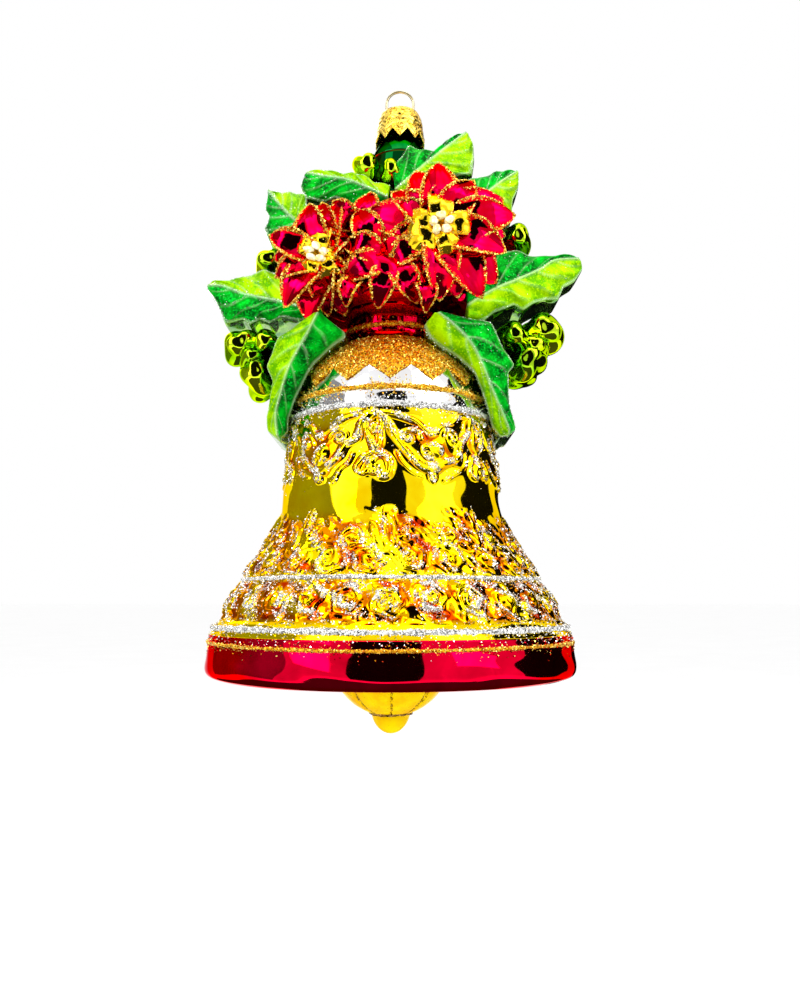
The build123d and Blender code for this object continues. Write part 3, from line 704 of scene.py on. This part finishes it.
def core_glass():
    """The crown's core: circles whose centres drift to the neck's axis, gathered into folds low down."""
    rows, columns = 110, 240
    r, z = even(spline(CORE, 400), rows).T
    angle = np.linspace(0, TAU, columns, endpoint=False)
    low = np.clip((128 - z) / 8, 0, 1)[:, None]
    z2 = z[:, None]
    folds = 2.0 * np.abs(np.sin(8 * angle + 0.8 * np.sin(z2 / 3.5))) ** 0.7 * np.exp(-((z2 - 106) / 9) ** 2)
    lumps = 0.5 * np.sin(5 * angle + z2 / 3) * np.sin(z2 / 2.2 + 2 * angle)
    radius = r[:, None] + (folds + lumps * 0.8) * low * np.clip((z2 - 98) / 2, 0, 1)
    shift = NECK_X * (z - CORE_FOOT) / (CORE_HEAD - CORE_FOOT)
    outer = np.stack([radius * np.sin(angle) + shift[:, None], -radius * np.cos(angle), z2 + 0 * angle], -1)
    inner = outer[::-12].copy()
    middle = np.stack([shift[::-12], 0 * shift[::-12], z[::-12]], -1)[:, None]
    inner[..., :2] = middle[..., :2] + (inner - middle)[..., :2] * (1 - WALL / r[::-12])[:, None, None]
    green = np.clip((z2 - 122) / 2 + 0.2 * np.sin(6 * angle), 0, 1)
    greens = np.vstack([green, green[::-12]])
    return grid(np.vstack([outer, inner]), wrap_rows=True, wrap_columns=True, green=greens)


NECK = [(8.4, 146.5), (7.7, 148.4), (6.6, 150.4), (5.4, 152.6), (5.3, 156.0), (5.3, 159.8)]


def neck_glass():
    """The pike under the cap: turned about the neck's axis."""
    neck = turned(NECK, 30, 96, wall=0.9, inner_rows=6)
    neck["points"][:, 0] += NECK_X
    return neck


piece("crown_core_glass", core_glass(), "bell", crown_mirror, ["crown_core"])
piece("neck_green_glass", neck_glass(), "bell", green_mirror, ["glass_neck"])


# ---------------------------------------------------------------- leaves
# rib, the two edges from root to tip, depth at root and tip, and which half is the pale one
LEAVES = {
    "leaf_top_right": (
        [(1.1, 132), (6.6, 138), (12.3, 144), (18, 149.5), (21.9, 153)],
        [(0.4, 139.9), (3.2, 144.7), (5.1, 147.8), (8.4, 146.8), (11.6, 146.4), (14.4, 148.4),
         (15.9, 150.6), (18.8, 152.2), (21.9, 153)],
        [(8, 129.8), (12.1, 135.5), (17.8, 138.6), (22.9, 140.2), (23.7, 144.7), (23.6, 149.1),
         (21.9, 153)],
        14, 6, 1),
    "leaf_upper_right": (
        [(18.8, 125.8), (25.3, 131.5), (31.2, 137.2), (36.2, 141.4)],
        [(17.5, 131.5), (21, 136.5), (22.6, 138.3), (25.5, 138.5), (29.1, 140.7), (32.8, 141.6),
         (36.2, 141.4)],
        [(20.1, 120.2), (25.1, 126.5), (30.7, 129.2), (34.2, 127.8), (34.3, 132.1), (36.1, 136.5),
         (36.2, 141.4)],
        15, 6, 1),
    "leaf_right": (
        [(20.6, 98.9), (27.5, 103.8), (34.6, 107.6), (41.1, 111.2), (45.6, 114.3), (53.5, 115.5)],
        [(20, 111.4), (26.9, 114.7), (31.8, 116.9), (34.7, 117.4), (38.3, 116.1), (44, 115.9),
         (48.4, 116.8), (51.4, 116.5), (53.5, 115.5)],
        [(20.5, 94.1), (25.3, 95.8), (28.1, 98.4), (31.6, 99.7), (34.1, 100.9), (36.5, 99.7),
         (39.4, 101.6), (43, 103.1), (46.6, 103.4), (48.5, 107.4), (51.8, 109.5), (53.8, 112.7),
         (53.5, 115.5)],
        16, 6, 1),
    "leaf_lower_right": (
        [(12.5, 94.3), (17.4, 90.8), (21.4, 86.7), (24.2, 81.7), (26.6, 76.1), (29.3, 70.4),
         (31.9, 64.6)],
        [(10.9, 94.3), (8.7, 92.3), (10, 89.6), (13.6, 86.6), (18.2, 84.2), (22.2, 80.4), (24.2, 76),
         (25.9, 70.8), (27.2, 66.3), (29.3, 63.8), (31.9, 64.6)],
        [(13.2, 94.8), (18.1, 94.5), (24, 94.4), (27, 93.8), (28.8, 90.8), (30.4, 87), (33.4, 83.2),
         (31.7, 81.1), (31.6, 76.9), (32.1, 71.1), (33.6, 65.9), (31.9, 64.6)],
        24, 14, 0),
    "leaf_top_left": (
        [(-0.9, 129.4), (-6.4, 133.3), (-12.8, 136.9), (-18.6, 138.7), (-24.6, 140.7)],
        [(-0.2, 134.4), (-4.4, 135.6), (-7.2, 138), (-10, 139.4), (-12.8, 139.3), (-16.7, 140.7),
         (-20, 141.6), (-23.3, 141.4), (-24.6, 140.7)],
        [(-0.9, 126.5), (-6.4, 127.8), (-11.3, 129.5), (-15.5, 132.2), (-19.8, 131.7), (-24.1, 133),
         (-25.7, 136.6), (-24.6, 140.7)],
        15, 6, 0),
    "leaf_upper_left": (
        [(-20.6, 120.2), (-26.4, 124.3), (-31, 129.9), (-35, 135.9)],
        [(-17.9, 127.3), (-23.5, 129.7), (-23.7, 133.5), (-27.4, 134.7), (-30.7, 135), (-32.6, 135),
         (-35, 135.9)],
        [(-23.2, 116), (-28.8, 117.9), (-33.8, 119.8), (-35.6, 123.6), (-34.3, 126.7), (-35.6, 130.1),
         (-34.9, 132.9), (-35, 135.9)],
        15, 6, 0),
    "leaf_left": (
        [(-18.2, 98.2), (-25.8, 99.6), (-30.9, 101.3), (-40.1, 104.1), (-46.7, 107.1), (-51.9, 107.7)],
        [(-19, 110), (-25.9, 109.8), (-32.1, 110.6), (-35.1, 111.8), (-37.3, 111.2), (-40.9, 110.2),
         (-46.7, 109.2), (-49.7, 109.3), (-51.9, 107.7)],
        [(-18.9, 94.8), (-25.7, 96.2), (-29.5, 97.2), (-33.4, 95.9), (-36.2, 97.1), (-38.8, 95.8),
         (-41.3, 97.5), (-46, 96.4), (-47.6, 100.1), (-49.3, 104), (-51.9, 107.7)],
        16, 6, 0),
    "leaf_lower_left": (
        [(-18.8, 94.3), (-21.5, 89.5), (-24.6, 84.6), (-27, 80.1), (-29.1, 74.1), (-30.4, 69.1),
         (-30, 63)],
        [(-17.5, 94.2), (-11.8, 91), (-11.8, 89.7), (-14.5, 87.7), (-19.8, 83.6), (-23.1, 78.5),
         (-25.5, 73.4), (-27.2, 69), (-27.4, 65.2), (-30, 63)],
        [(-20.1, 94.3), (-24.7, 92.5), (-30, 89.7), (-31.5, 86.7), (-33.2, 82.3), (-31.6, 78.5),
         (-32.4, 72.8), (-33.3, 69), (-32.9, 65.2), (-30, 63)],
        24, 14, 1),
}
LEAF_SQUARE, SIDE_VEINS, VEIN_LEAN = 8.0, 5, 0.26
LEGS_END_Z = 141.0


def clear_of_bell(points):
    """Points inside the bell's glass are moved straight out, into the thickness of its wall."""
    outline = np.vstack([BODY[-5:], FLANGE[1:], DOME[1:], COLLAR[1:]])
    wall = np.interp(points[..., 2], outline[:, 1], outline[:, 0]) - 0.6
    out = np.hypot(points[..., 0], points[..., 1])
    inside = (points[..., 2] < COLLAR[-1][1]) & (out < wall)
    push = np.where(inside, wall / np.maximum(out, 1e-6), 1)
    points[..., :2] *= push[..., None]
    return points


def clear_of_legs(points):
    """Points inside the crown's neck are kept below the ends of the hanger's legs."""
    outline = np.array(CORE[3:])
    inside = np.interp(points[..., 2], outline[:, 1], outline[:, 0]) - 0.8
    reach = np.hypot(points[..., 0] - NECK_X, points[..., 1])
    points[..., 2] = np.where(reach < inside, np.minimum(points[..., 2], LEGS_END_Z - 1.0), points[..., 2])
    return points


def sharp(edge, rows):
    """An outline two thirds of the way from its smooth curve to its straight runs, to keep its points."""
    return (even(spline(edge, 400), rows) + 2 * even(np.array(edge, float), rows)) / 3

def leaf(rib, edge_a, edge_b, root_depth, tip_depth, pale):
    """A hollow moulded leaf: at each step from root to tip, a rounded box section from edge to edge.

    Across is the distance from the rib towards an edge, and depth is in front of or behind the seam.
    The faces fall back from the rib to the edges, with a ridge along each vein.
    """
    rows, around = 76, 136
    u = np.linspace(0, 1, rows)[:, None]
    spine = even(spline(rib, 400), rows)
    left, right = sharp(edge_a, rows), sharp(edge_b, rows)
    turn = np.linspace(0, TAU, 4 * around, endpoint=False)
    power = 2 / LEAF_SQUARE
    section = np.stack([np.sign(f(turn)) * np.abs(f(turn)) ** power for f in (np.cos, np.sin)], -1)
    t, f = even(np.vstack([section, section[:1]]), around + 1)[:-1].T
    side = np.where(t[:, None] < 0, left[:, None], right[:, None])
    plan = spine[:, None] + np.abs(t)[:, None] * (side - spine[:, None])
    span = np.linalg.norm(plan - spine[:, None], axis=-1)
    length = np.linalg.norm(np.diff(spine, axis=0), axis=1).sum()
    across = np.abs(t)
    veins = 0.8 * np.exp(-(span / 0.34) ** 2)
    for k in range(SIDE_VEINS):
        away = (u - (0.08 + k * 0.86 / SIDE_VEINS) - VEIN_LEAN * across) * length
        ridge = 0.5 * np.exp(-(away / 0.3) ** 2) * (across < 0.86) * np.clip(1.15 - across, 0, 1)
        veins = np.maximum(veins, ridge)
    hem = np.exp(-((across - 0.945) / 0.03) ** 2) * (np.abs(f) > 0.5)
    face = np.clip((np.abs(f) - 0.8) / 0.05, 0, 1)
    fall = 1.8 * across ** 1.4 * np.clip(span / 6, 0, 1)
    ripple = 0.5 * np.sin((u * SIDE_VEINS - VEIN_LEAN * SIDE_VEINS * across) * TAU) * across
    bulk = root_depth + (tip_depth - root_depth) * u
    narrow = np.clip(np.sqrt(np.clip(1 - u, 0, 1)) * 7, 0.55, 1)
    depth = (bulk - fall + ripple + 0.75 * veins + 0.35 * hem) * narrow
    points = np.stack([plan[..., 0], -depth * f, plan[..., 1]], -1)
    points = clear_of_legs(clear_of_bell(points))
    ends = [np.broadcast_to(points[k].mean(0), (1, around, 3)) for k in (0, -1)]
    values = {"half": np.where(t > 0, pale, 1 - pale) * np.ones((rows, 1)), "vein": np.maximum(veins, hem),
              "face": face + 0 * u}
    padded = {k: np.vstack([v[:1], v, v[-1:]]) for k, v in values.items()}
    made = grid(np.vstack([ends[0], points, ends[1]]), wrap_columns=True, **padded)
    made["skin"], made["shine"] = points, np.maximum(veins * 0.6, hem) * face + 0.015 * face
    return made


frost_places = []
for name, facts in LEAVES.items():
    grown = leaf(*facts)
    piece(name.replace("leaf", "holly"), grown, "bell", leaf_mirror, [name])
    frost_places.append(scatter(grown["skin"], grown["shine"], 2600, -0.05))
sprinkle("holly_frost", np.vstack(frost_places), 0.2, "bell", frost_glitter)


# ---------------------------------------------------------------- berries
# the lobes of each group: middle across and up, radius, and half the length between the ends
BERRIES = {
    "berries_right": [(43.0, 95.5, 5.8, 3.5), (37.5, 86.0, 6.0, 5.0), (34.0, 92.5, 5.2, 9.0),
                      (39.5, 90.5, 4.4, 6.5)],
    "berry_upper_right": [(36.0, 122.5, 4.6, 3.0)],
    "berries_left": [(-41.8, 91.5, 5.4, 3.5), (-37.0, 82.8, 5.8, 5.0), (-34.0, 90.5, 5.0, 9.0),
                     (-38.0, 87.0, 4.2, 7.0)],
    "berry_upper_left": [(-34.0, 115.5, 4.7, 4.0)],
    "berries_top": [(-6.8, 141.5, 5.2, 7.5), (0.2, 139.0, 4.8, 10.0)],
}


def berry(x, z, radius, half, rows=44, columns=52):
    """A lobe from front to back: circles on an elongated ball, pinched into folds and dimpled at each end."""
    polar = np.linspace(0, np.pi, rows)[:, None]
    turn = np.linspace(0, TAU, columns, endpoint=False)
    phase = rng.uniform(0, TAU, 3)
    squash, twist = 0.12 * np.cos(2 * turn + phase[0]), 0.1 * np.cos(3 * turn + phase[1] + 3 * polar)
    out = np.sin(polar) * (1 + squash + twist)
    pinch = 1 - 0.2 * np.abs(np.sin(polar * 2.5 + 1.2 * np.cos(turn + phase[2]))) ** 4
    dimple = 0.2 * np.exp(-(np.sin(polar) / 0.35) ** 2)
    y = -np.cos(polar) * (half + radius * (1 - dimple)) + 0 * turn
    r = radius * out * pinch
    points = clear_of_legs(np.stack([x + r * np.cos(turn), y, z + r * np.sin(turn)], -1))
    return grid(points, wrap_columns=True)


for name, lobes in BERRIES.items():
    grown = [berry(*lobe) for lobe in lobes]
    piece(name.replace("berr", "mirror_berr"), grown, "bell", olive_mirror, [name])


# ---------------------------------------------------------------- poinsettias
def petal(reach, width, base, rise, tip_drop, cup, ridges, thick, point=0.8, rows=26, columns=32):
    """A petal in its own frame: x along it, y across, z out of the flower.

    Its half width is a power of the distance from the root times a power of the distance from the tip. The
    middle line is an arch that bends back at the tip, the edges curl up by cup, and ridges run lengthwise.
    """
    u = np.linspace(0, 1, rows)[:, None]
    turn = np.linspace(0, TAU, columns, endpoint=False)
    v, back = np.sin(turn), np.cos(turn) < 0
    half = width * (u + 0.04) ** 0.55 * np.clip(1 - u, 0, 1) ** point / 0.52
    line = base + rise * np.sin(np.pi * np.clip(u * 1.05, 0, 1)) - tip_drop * u ** 2
    swell = np.sin(np.pi * np.clip(u * 0.97 + 0.02, 0, 1))
    bend = 0.16 * np.sin(8 * u + reach)
    waves = 0.6 + 0.4 * np.sin(15 * u + reach)
    furrow = sum(np.exp(-((v - place - bend) / 0.15) ** 2) for place in ridges) * swell * waves
    top = line + cup * np.abs(v) ** 2.5 * swell + 0.7 * furrow
    body = thick * np.sqrt(np.clip(1 - v ** 2, 0, 1)) * np.clip(swell * 2, 0.15, 1)
    height = np.where(back, top - 2 * body, top) + 0 * u
    points = np.stack([reach * u + 0 * v, half * v, height], -1)
    # the ridge values mark where the ridges stand up on the front, for the pink painted highlight
    made = grid(np.vstack([points.mean(1, keepdims=True)[:1] + 0 * points[:1], points]), wrap_columns=True,
                ridge=np.vstack([furrow[:1], furrow]) * ~back)
    made["skin"] = points
    made["shine"] = np.where(back, 0, np.clip((np.abs(v) - 0.78) * 8, 0, 1) + 1.5 * (u > 0.93)) * (u > 0.1)
    return made


def placed(part, centre, angle, tilt, stand_off, back):
    """A petal carried to its flower: turned by its angle, tipped, and set off the middle plane."""
    a, t = np.radians([angle, tilt])
    along = np.array([np.cos(a) * np.cos(t), -np.cos(a) * np.sin(t), np.sin(a)])
    out = np.array([np.sin(t), -np.cos(t), 0])
    across = np.cross(out, along)
    origin = np.array([centre[0], -stand_off, centre[1]])
    flip = np.array([1, -1 if back else 1, 1])
    moved = dict(part)
    for key in ("points", "skin"):
        moved[key] = (origin + part[key] @ np.stack([along, across, out])) * flip
    if back:
        moved["quads"], moved["tris"] = part["quads"][:, ::-1], part["tris"][:, ::-1]
    return moved


def boss(centre, radius, stand_off, tilt, back):
    """The lobed cushion under a flower: rings from its foot in the crown to its front, gathered in folds."""
    rows, columns = 44, 126
    s = np.linspace(0, 1, rows)[:, None]
    turn = np.linspace(0, TAU, columns, endpoint=False)
    out = radius * (1 - s ** 5) ** 0.5 * (0.86 + 0.14 * s)
    out = out * (1 + 0.09 * np.abs(np.sin(4.5 * turn)) - 0.05 * np.cos(2 * turn + s * 4))
    depth = -stand_off + 2.5 + s * (stand_off - 1.0) + 0.9 * np.cos(9 * turn) * s
    points = np.stack([out * np.cos(turn), out * np.sin(turn), depth + 0 * turn], -1)
    ends = [points[k].mean(0) + 0 * points[:1] for k in (0, -1)]
    # the ridge values mark the raised folds, for the pink painted highlight
    ridge = np.clip(np.cos(9 * turn) * s, 0, 1) * 0.7
    ridges = np.vstack([ridge[:1], ridge, ridge[-1:]])
    made = grid(np.vstack([ends[0], points, ends[1]]), wrap_columns=True, ridge=ridges)
    made["skin"] = points
    return placed(made, centre, 0, tilt, stand_off, back)


# centre, distance of the bracts from the middle plane, tilt, the bracts and the gold petals as (angle, reach),
# and the radius of the cushion
FLOWERS = {
    "right": ((12.2, 116.0), 24.0, 8,
              [(163, 22), (201, 18.5), (225, 20.5), (272, 18.5), (304, 21.5), (341, 19), (11, 21.3), (54, 17),
               (87, 20), (135, 17)],
              [(168, 11.3), (2, 10.5), (222, 11), (292, 9.5), (88, 10.5)], 18.0),
    "left": ((-17.2, 109.2), 21.5, -18,
             [(107, 16), (80, 17.4), (161, 16), (202, 15), (231, 17.5), (271, 14.5), (315, 14.5), (8, 13),
              (44, 13)],
             [(155, 8), (8, 7.2), (238, 8), (300, 9), (84, 9.3)], 14.5),
}
RIDGES = (-0.42, 0.0, 0.42)
for side, (centre, stand_off, tilt, bracts, golds, boss_r) in FLOWERS.items():
    for face in ("front", "back"):
        back = face == "back"
        tag = f"{side}_{face}"
        red, gold, red_edges, gold_edges = [], [], [], []
        under = [(angle + 17, reach * 0.98, -2.4) for angle, reach in bracts]
        for k, (angle, reach, drop) in enumerate(under + [(*bract, 0.0) for bract in bracts]):
            lift = drop + 0.9 * (k % 2) + rng.uniform(-0.3, 0.3)
            width = reach * (0.4 if drop else 0.34)
            grown = petal(reach, width, 0.2 + lift, 2.8, 2.0, 1.4, RIDGES, 1.2)
            red.append(placed(grown, centre, angle, tilt, stand_off, back))
            red_edges.append(scatter(red[-1]["skin"], grown["shine"], 440 if drop else 820))
        for angle, reach in golds:
            grown = petal(reach, reach * 0.3, 3.2, 2.8, 1.8, -0.6, (0.0,), 1.3, 0.38, rows=22)
            gold.append(placed(grown, centre, angle, tilt, stand_off, back))
            gold_edges.append(scatter(gold[-1]["skin"], grown["shine"] + 0.04, 480))
        piece(f"bracts_{tag}", red, "bell", petal_mirror, [f"{side}_bracts_{face}"])
        cushion = boss(centre, boss_r, stand_off, tilt, back)
        piece(f"boss_{tag}", cushion, "bell", petal_mirror, [f"{side}_underpetals_{face}"])
        piece(f"gold_petals_{tag}", gold, "bell", petal_gold, [f"{side}_heart_{face}"])
        sprinkle(f"bract_glitter_{tag}", np.vstack(red_edges), 0.34, "bell", gold_glitter)
        sprinkle(f"heart_glitter_{tag}", np.vstack(gold_edges), 0.26, "bell", gold_glitter)
        beads = []
        for k in range(5):
            spot = TAU * (k + 0.25) / 5
            ball = berry(2.1 * np.cos(spot), 2.1 * np.sin(spot), 1.25, 0.1, 20, 24)
            ball["points"] = ball["points"][:, [0, 2, 1]] * [1, 1, -1] + [0, 0, 6.0]
            ball["skin"] = ball["points"]
            beads.append(placed(ball, centre, 0, tilt, stand_off, back))
        piece(f"pearls_{tag}", beads, "bell", pearl_bead, [f"{side}_beads_{face}"])


# bracts between the flowers, lying on the core: place of the root, angle and reach
LOOSE_BRACTS = [(-8.0, 104.0, 240, 9.0), (7.5, 103.5, 285, 9.0), (-7.0, 118.5, 140, 13.0),
                (-5.0, 119.0, 95, 12.0), (0.0, 108.5, 20, 11.0), (-3.0, 112.0, 118, 13.0),
                (1.0, 107.0, 302, 11.5), (-0.5, 107.0, 255, 11.5), (-1.5, 108.5, 204, 12.5),
                (-1.5, 109.5, 160, 12.0)]
core_line = np.array(CORE)
for face in ("front", "back"):
    loose, loose_edges = [], []
    for x, z, angle, reach in LOOSE_BRACTS:
        core_r = np.interp(z, core_line[:, 1], core_line[:, 0])
        grown = petal(reach, reach * 0.4, 0.4, 2.6, 2.2, 1.3, RIDGES, 1.2)
        lean = np.degrees(np.arcsin(x / core_r))
        stand_off = core_r * np.cos(np.radians(lean))
        loose.append(placed(grown, (x, z), angle, lean, stand_off, face == "back"))
        loose_edges.append(scatter(loose[-1]["skin"], grown["shine"], 560))
    piece(f"bracts_between_{face}", loose, "bell", petal_mirror)
    sprinkle(f"between_glitter_{face}", np.vstack(loose_edges), 0.34, "bell", gold_glitter)


# ---------------------------------------------------------------- cap, hanger and clapper
CAP = [(0.0, 161.6), (2.5, 161.6), (4.6, 161.5), (5.6, 160.7), (6.3, 158.6), (6.7, 155.4), (7.2, 151.2)]
CAP_POINTS, CAP_NOTCH, CAP_SHEET = 10, 2.8, 0.35


def pressed_cap():
    """The cap: turned about the neck, its skirt cut to points, stamped with leaves, and closed inside."""
    rows, columns = 60, CAP_POINTS * 18
    angle = np.linspace(0, TAU, columns, endpoint=False)
    r, z = (column[:, None] for column in even(spline(CAP, 300), rows).T)
    down = np.linspace(0, 1, rows)[:, None]
    tooth = np.abs((angle / TAU * CAP_POINTS + 0.5) % 1 - 0.5) * 2
    skirt = np.clip((down - 0.55) / 0.45, 0, 1)
    height = z + skirt * CAP_NOTCH * tooth
    stamp = np.sin(7 * angle + z * 1.6) * np.sin(z * 2.3) + 0.6 * np.cos(14 * angle) * np.cos(z * 1.9)
    flute = 0.16 * np.cos(CAP_POINTS * angle) * skirt
    radius = r + (0.13 * np.clip(stamp, -0.4, 1) + flute) * np.clip((r - 4.4) / 1.0, 0, 1)
    rim = np.vstack([radius, (radius - CAP_SHEET * np.clip(r / 2, 0, 1))[::-1]])
    tall = np.vstack([height, (height - CAP_SHEET * np.clip(z - 160.6, 0, 1))[::-1]])
    points = np.stack([NECK_X + rim * np.sin(angle), -rim * np.cos(angle), tall + 0 * angle], -1)
    return grid(points, wrap_columns=True)


def about_axis(radius, middle, polar, turn):
    """Places on a ball about the bell's axis, from its radius and the angles down from the top and round."""
    side = radius * np.sin(polar)
    return np.stack([side * np.sin(turn), -side * np.cos(turn), middle + radius * np.cos(polar)], -1)

def clapper_ball():
    """A ball blown into eight ribs: the radius dips in a narrow groove between one rib and the next."""
    rows, columns = 80, 208
    polar = np.linspace(0, np.pi, rows)[:, None]
    turn = np.linspace(0, TAU, columns, endpoint=False)
    groove = np.exp(-(np.sin(4 * turn) / 0.2) ** 2)
    r = 16.7 * (1 - 0.035 * groove * np.sin(polar))
    points = about_axis(r, 5.7, polar, turn)
    made = grid(points, wrap_columns=True)
    made["skin"], made["shine"] = points, groove ** 2 + 0 * polar
    return made


def knob():
    """The ball's button: a slightly long ball with a waist where it joins."""
    rows, columns = 60, 96
    polar = np.linspace(0, np.pi, rows)[:, None]
    turn = np.linspace(0, TAU, columns, endpoint=False)
    r = 5.25 * (1 - 0.03 * np.cos(3 * polar)) + 0 * turn
    return grid(about_axis(r, -10.2, polar, turn), wrap_columns=True)


piece("cap_pressed_gold", pressed_cap(), "cap", cap_gold, ["crown_cap"])
ribs = clapper_ball()
piece("clapper_ribbed_ball", ribs, "clapper", satin, ["clapper_ball"])
piece("clapper_round_knob", knob(), "clapper", satin, ["clapper_knob"])
seam = bead(5.5, -10.0, 0.5, 120, 12)
piece("clapper_ring_glue", seam, "clapper", bronze_bed, ["clapper_trim"])
shine = np.broadcast_to(seam["shine"], seam["skin"].shape[:2])
places = np.vstack([scatter(ribs["skin"], ribs["shine"], 4200), scatter(seam["skin"], shine, 1200)])
sprinkle("clapper_grains", places, 0.26, "clapper", bronze_glitter)
for name in ("hanger_wire", "clapper_staple", "clapper_link", "clapper_stem"):
    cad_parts[name].data.materials.clear()
    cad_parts[name].data.materials.append(wire_metal)
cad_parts["crown_plug"].data.materials.clear()
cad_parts["crown_plug"].data.materials.append(plaster)


# ---------------------------------------------------------------- the studio
def bearing(azimuth, elevation):
    """A place's azimuth and elevation in radians, and the unit vector from the ornament towards it."""
    a, e = np.radians([azimuth, elevation])
    return a, e, np.array([np.sin(a) * np.cos(e), -np.cos(a) * np.cos(e), np.sin(e)])

def card(name, azimuth, elevation, width, height, distance, grey):
    """A card with a torn edge that faces the ornament, there only for the mirrors to reflect."""
    a, _, away = bearing(azimuth, elevation)
    side = np.array([np.cos(a), np.sin(a), 0.0])
    rise = np.cross(side, away)
    middle = np.array([0, 0, MIDDLE]) + away * distance
    turn = np.linspace(0, TAU, CARD_POINTS, endpoint=False)
    torn = 1 + CARD_TEAR * rng.normal(size=(2, CARD_POINTS))
    i, j = (np.sign(f) * np.abs(f) ** 0.3 * tear for f, tear in zip((np.cos(turn), np.sin(turn)), torn))
    corners = middle + side * width / 2 * i[:, None] + rise * height / 2 * j[:, None]
    mesh = bpy.data.meshes.new(name)
    mesh.from_pydata(corners.tolist(), [], [tuple(range(CARD_POINTS))])
    made = bpy.data.objects.new(name, mesh)
    bpy.context.scene.collection.objects.link(made)
    matt = Finish(name, Base_Color=(grey, grey, grey, 1), Roughness=1.0, Specular_IOR_Level=0.0)
    mesh.materials.append(matt.material)
    made.visible_camera = made.visible_diffuse = made.visible_shadow = False


def softbox(name, azimuth, elevation, size, distance, power):
    """A soft lamp that faces the ornament."""
    a, e, away = bearing(azimuth, elevation)
    light = bpy.data.lights.new(name, "AREA")
    light.shape, light.size, light.size_y, light.energy = "RECTANGLE", size[0], size[1], power
    made = bpy.data.objects.new(name, light)
    made.location = away * distance + (0, 0, MIDDLE)
    made.rotation_euler = (np.pi / 2 - e, 0, a)
    made.visible_camera = False
    bpy.context.scene.collection.objects.link(made)


CARD_POINTS, CARD_TEAR = 26, 0.09
MIDDLE = LIP_Z + 0.07
FLOOR_Z, FLOOR_HALF = LIP_Z - 0.13, 20
floor_mesh = bpy.data.meshes.new("floor")
floor_corners = [(i * FLOOR_HALF, j * FLOOR_HALF, FLOOR_Z) for i, j in ((-1, -1), (1, -1), (1, 1), (-1, 1))]
floor_mesh.from_pydata(floor_corners, [], [(0, 1, 2, 3)])
floor = bpy.data.objects.new("floor", floor_mesh)
bpy.context.scene.collection.objects.link(floor)
paper = Finish("pale_paper", Roughness=0.9)
paper.feed("Base Color", paper.ramp(paper.noise(8.0, 4.0), (0.3, 0.97), (0.7, 0.99)))
floor_mesh.materials.append(paper.material)

world = bpy.data.worlds.new("studio")
world.use_nodes = True
world.node_tree.nodes["Background"].inputs["Color"].default_value = (1, 1, 1, 1)
world.node_tree.nodes["Background"].inputs["Strength"].default_value = 1.0
bpy.context.scene.world = world
bpy.context.scene.view_settings.view_transform = "Standard"

black, dark, dim = 0.004, 0.05, 0.2
card("card_front", -4, 6, 0.42, 0.9, 0.55, black)
card("card_right", 104, 5, 0.55, 1.0, 0.6, black)
card("card_left", -98, 5, 0.75, 1.0, 0.6, dim)
card("card_back", 163, 5, 0.3, 0.9, 0.6, black)
card("card_below", 0, -88, 0.5, 0.5, 0.17, dark)
softbox("softbox_left", -46, 25, (0.25, 0.5), 0.6, 1.8)
softbox("softbox_right", 52, 30, (0.3, 0.5), 0.6, 2.0)
softbox("softbox_top", 0, 80, (0.5, 0.5), 0.7, 1.8)
softbox("softbox_back", 200, 35, (0.5, 0.5), 0.8, 1.8)

CAMERA_AWAY, CAMERA_RISE, CAMERA_TILT = 0.254, 0.021, 6.1
camera_data = bpy.data.cameras.new("camera")
camera_data.lens, camera_data.sensor_width, camera_data.clip_start = 32.94, 36, 0.01
camera = bpy.data.objects.new("camera", camera_data)
camera.location = (AXIS_X + NECK_X * MM, -CAMERA_AWAY, LIP_Z + CAMERA_RISE)
camera.rotation_euler = (np.radians(90 + CAMERA_TILT), 0, 0)
bpy.context.scene.collection.objects.link(camera)
bpy.context.scene.camera = camera
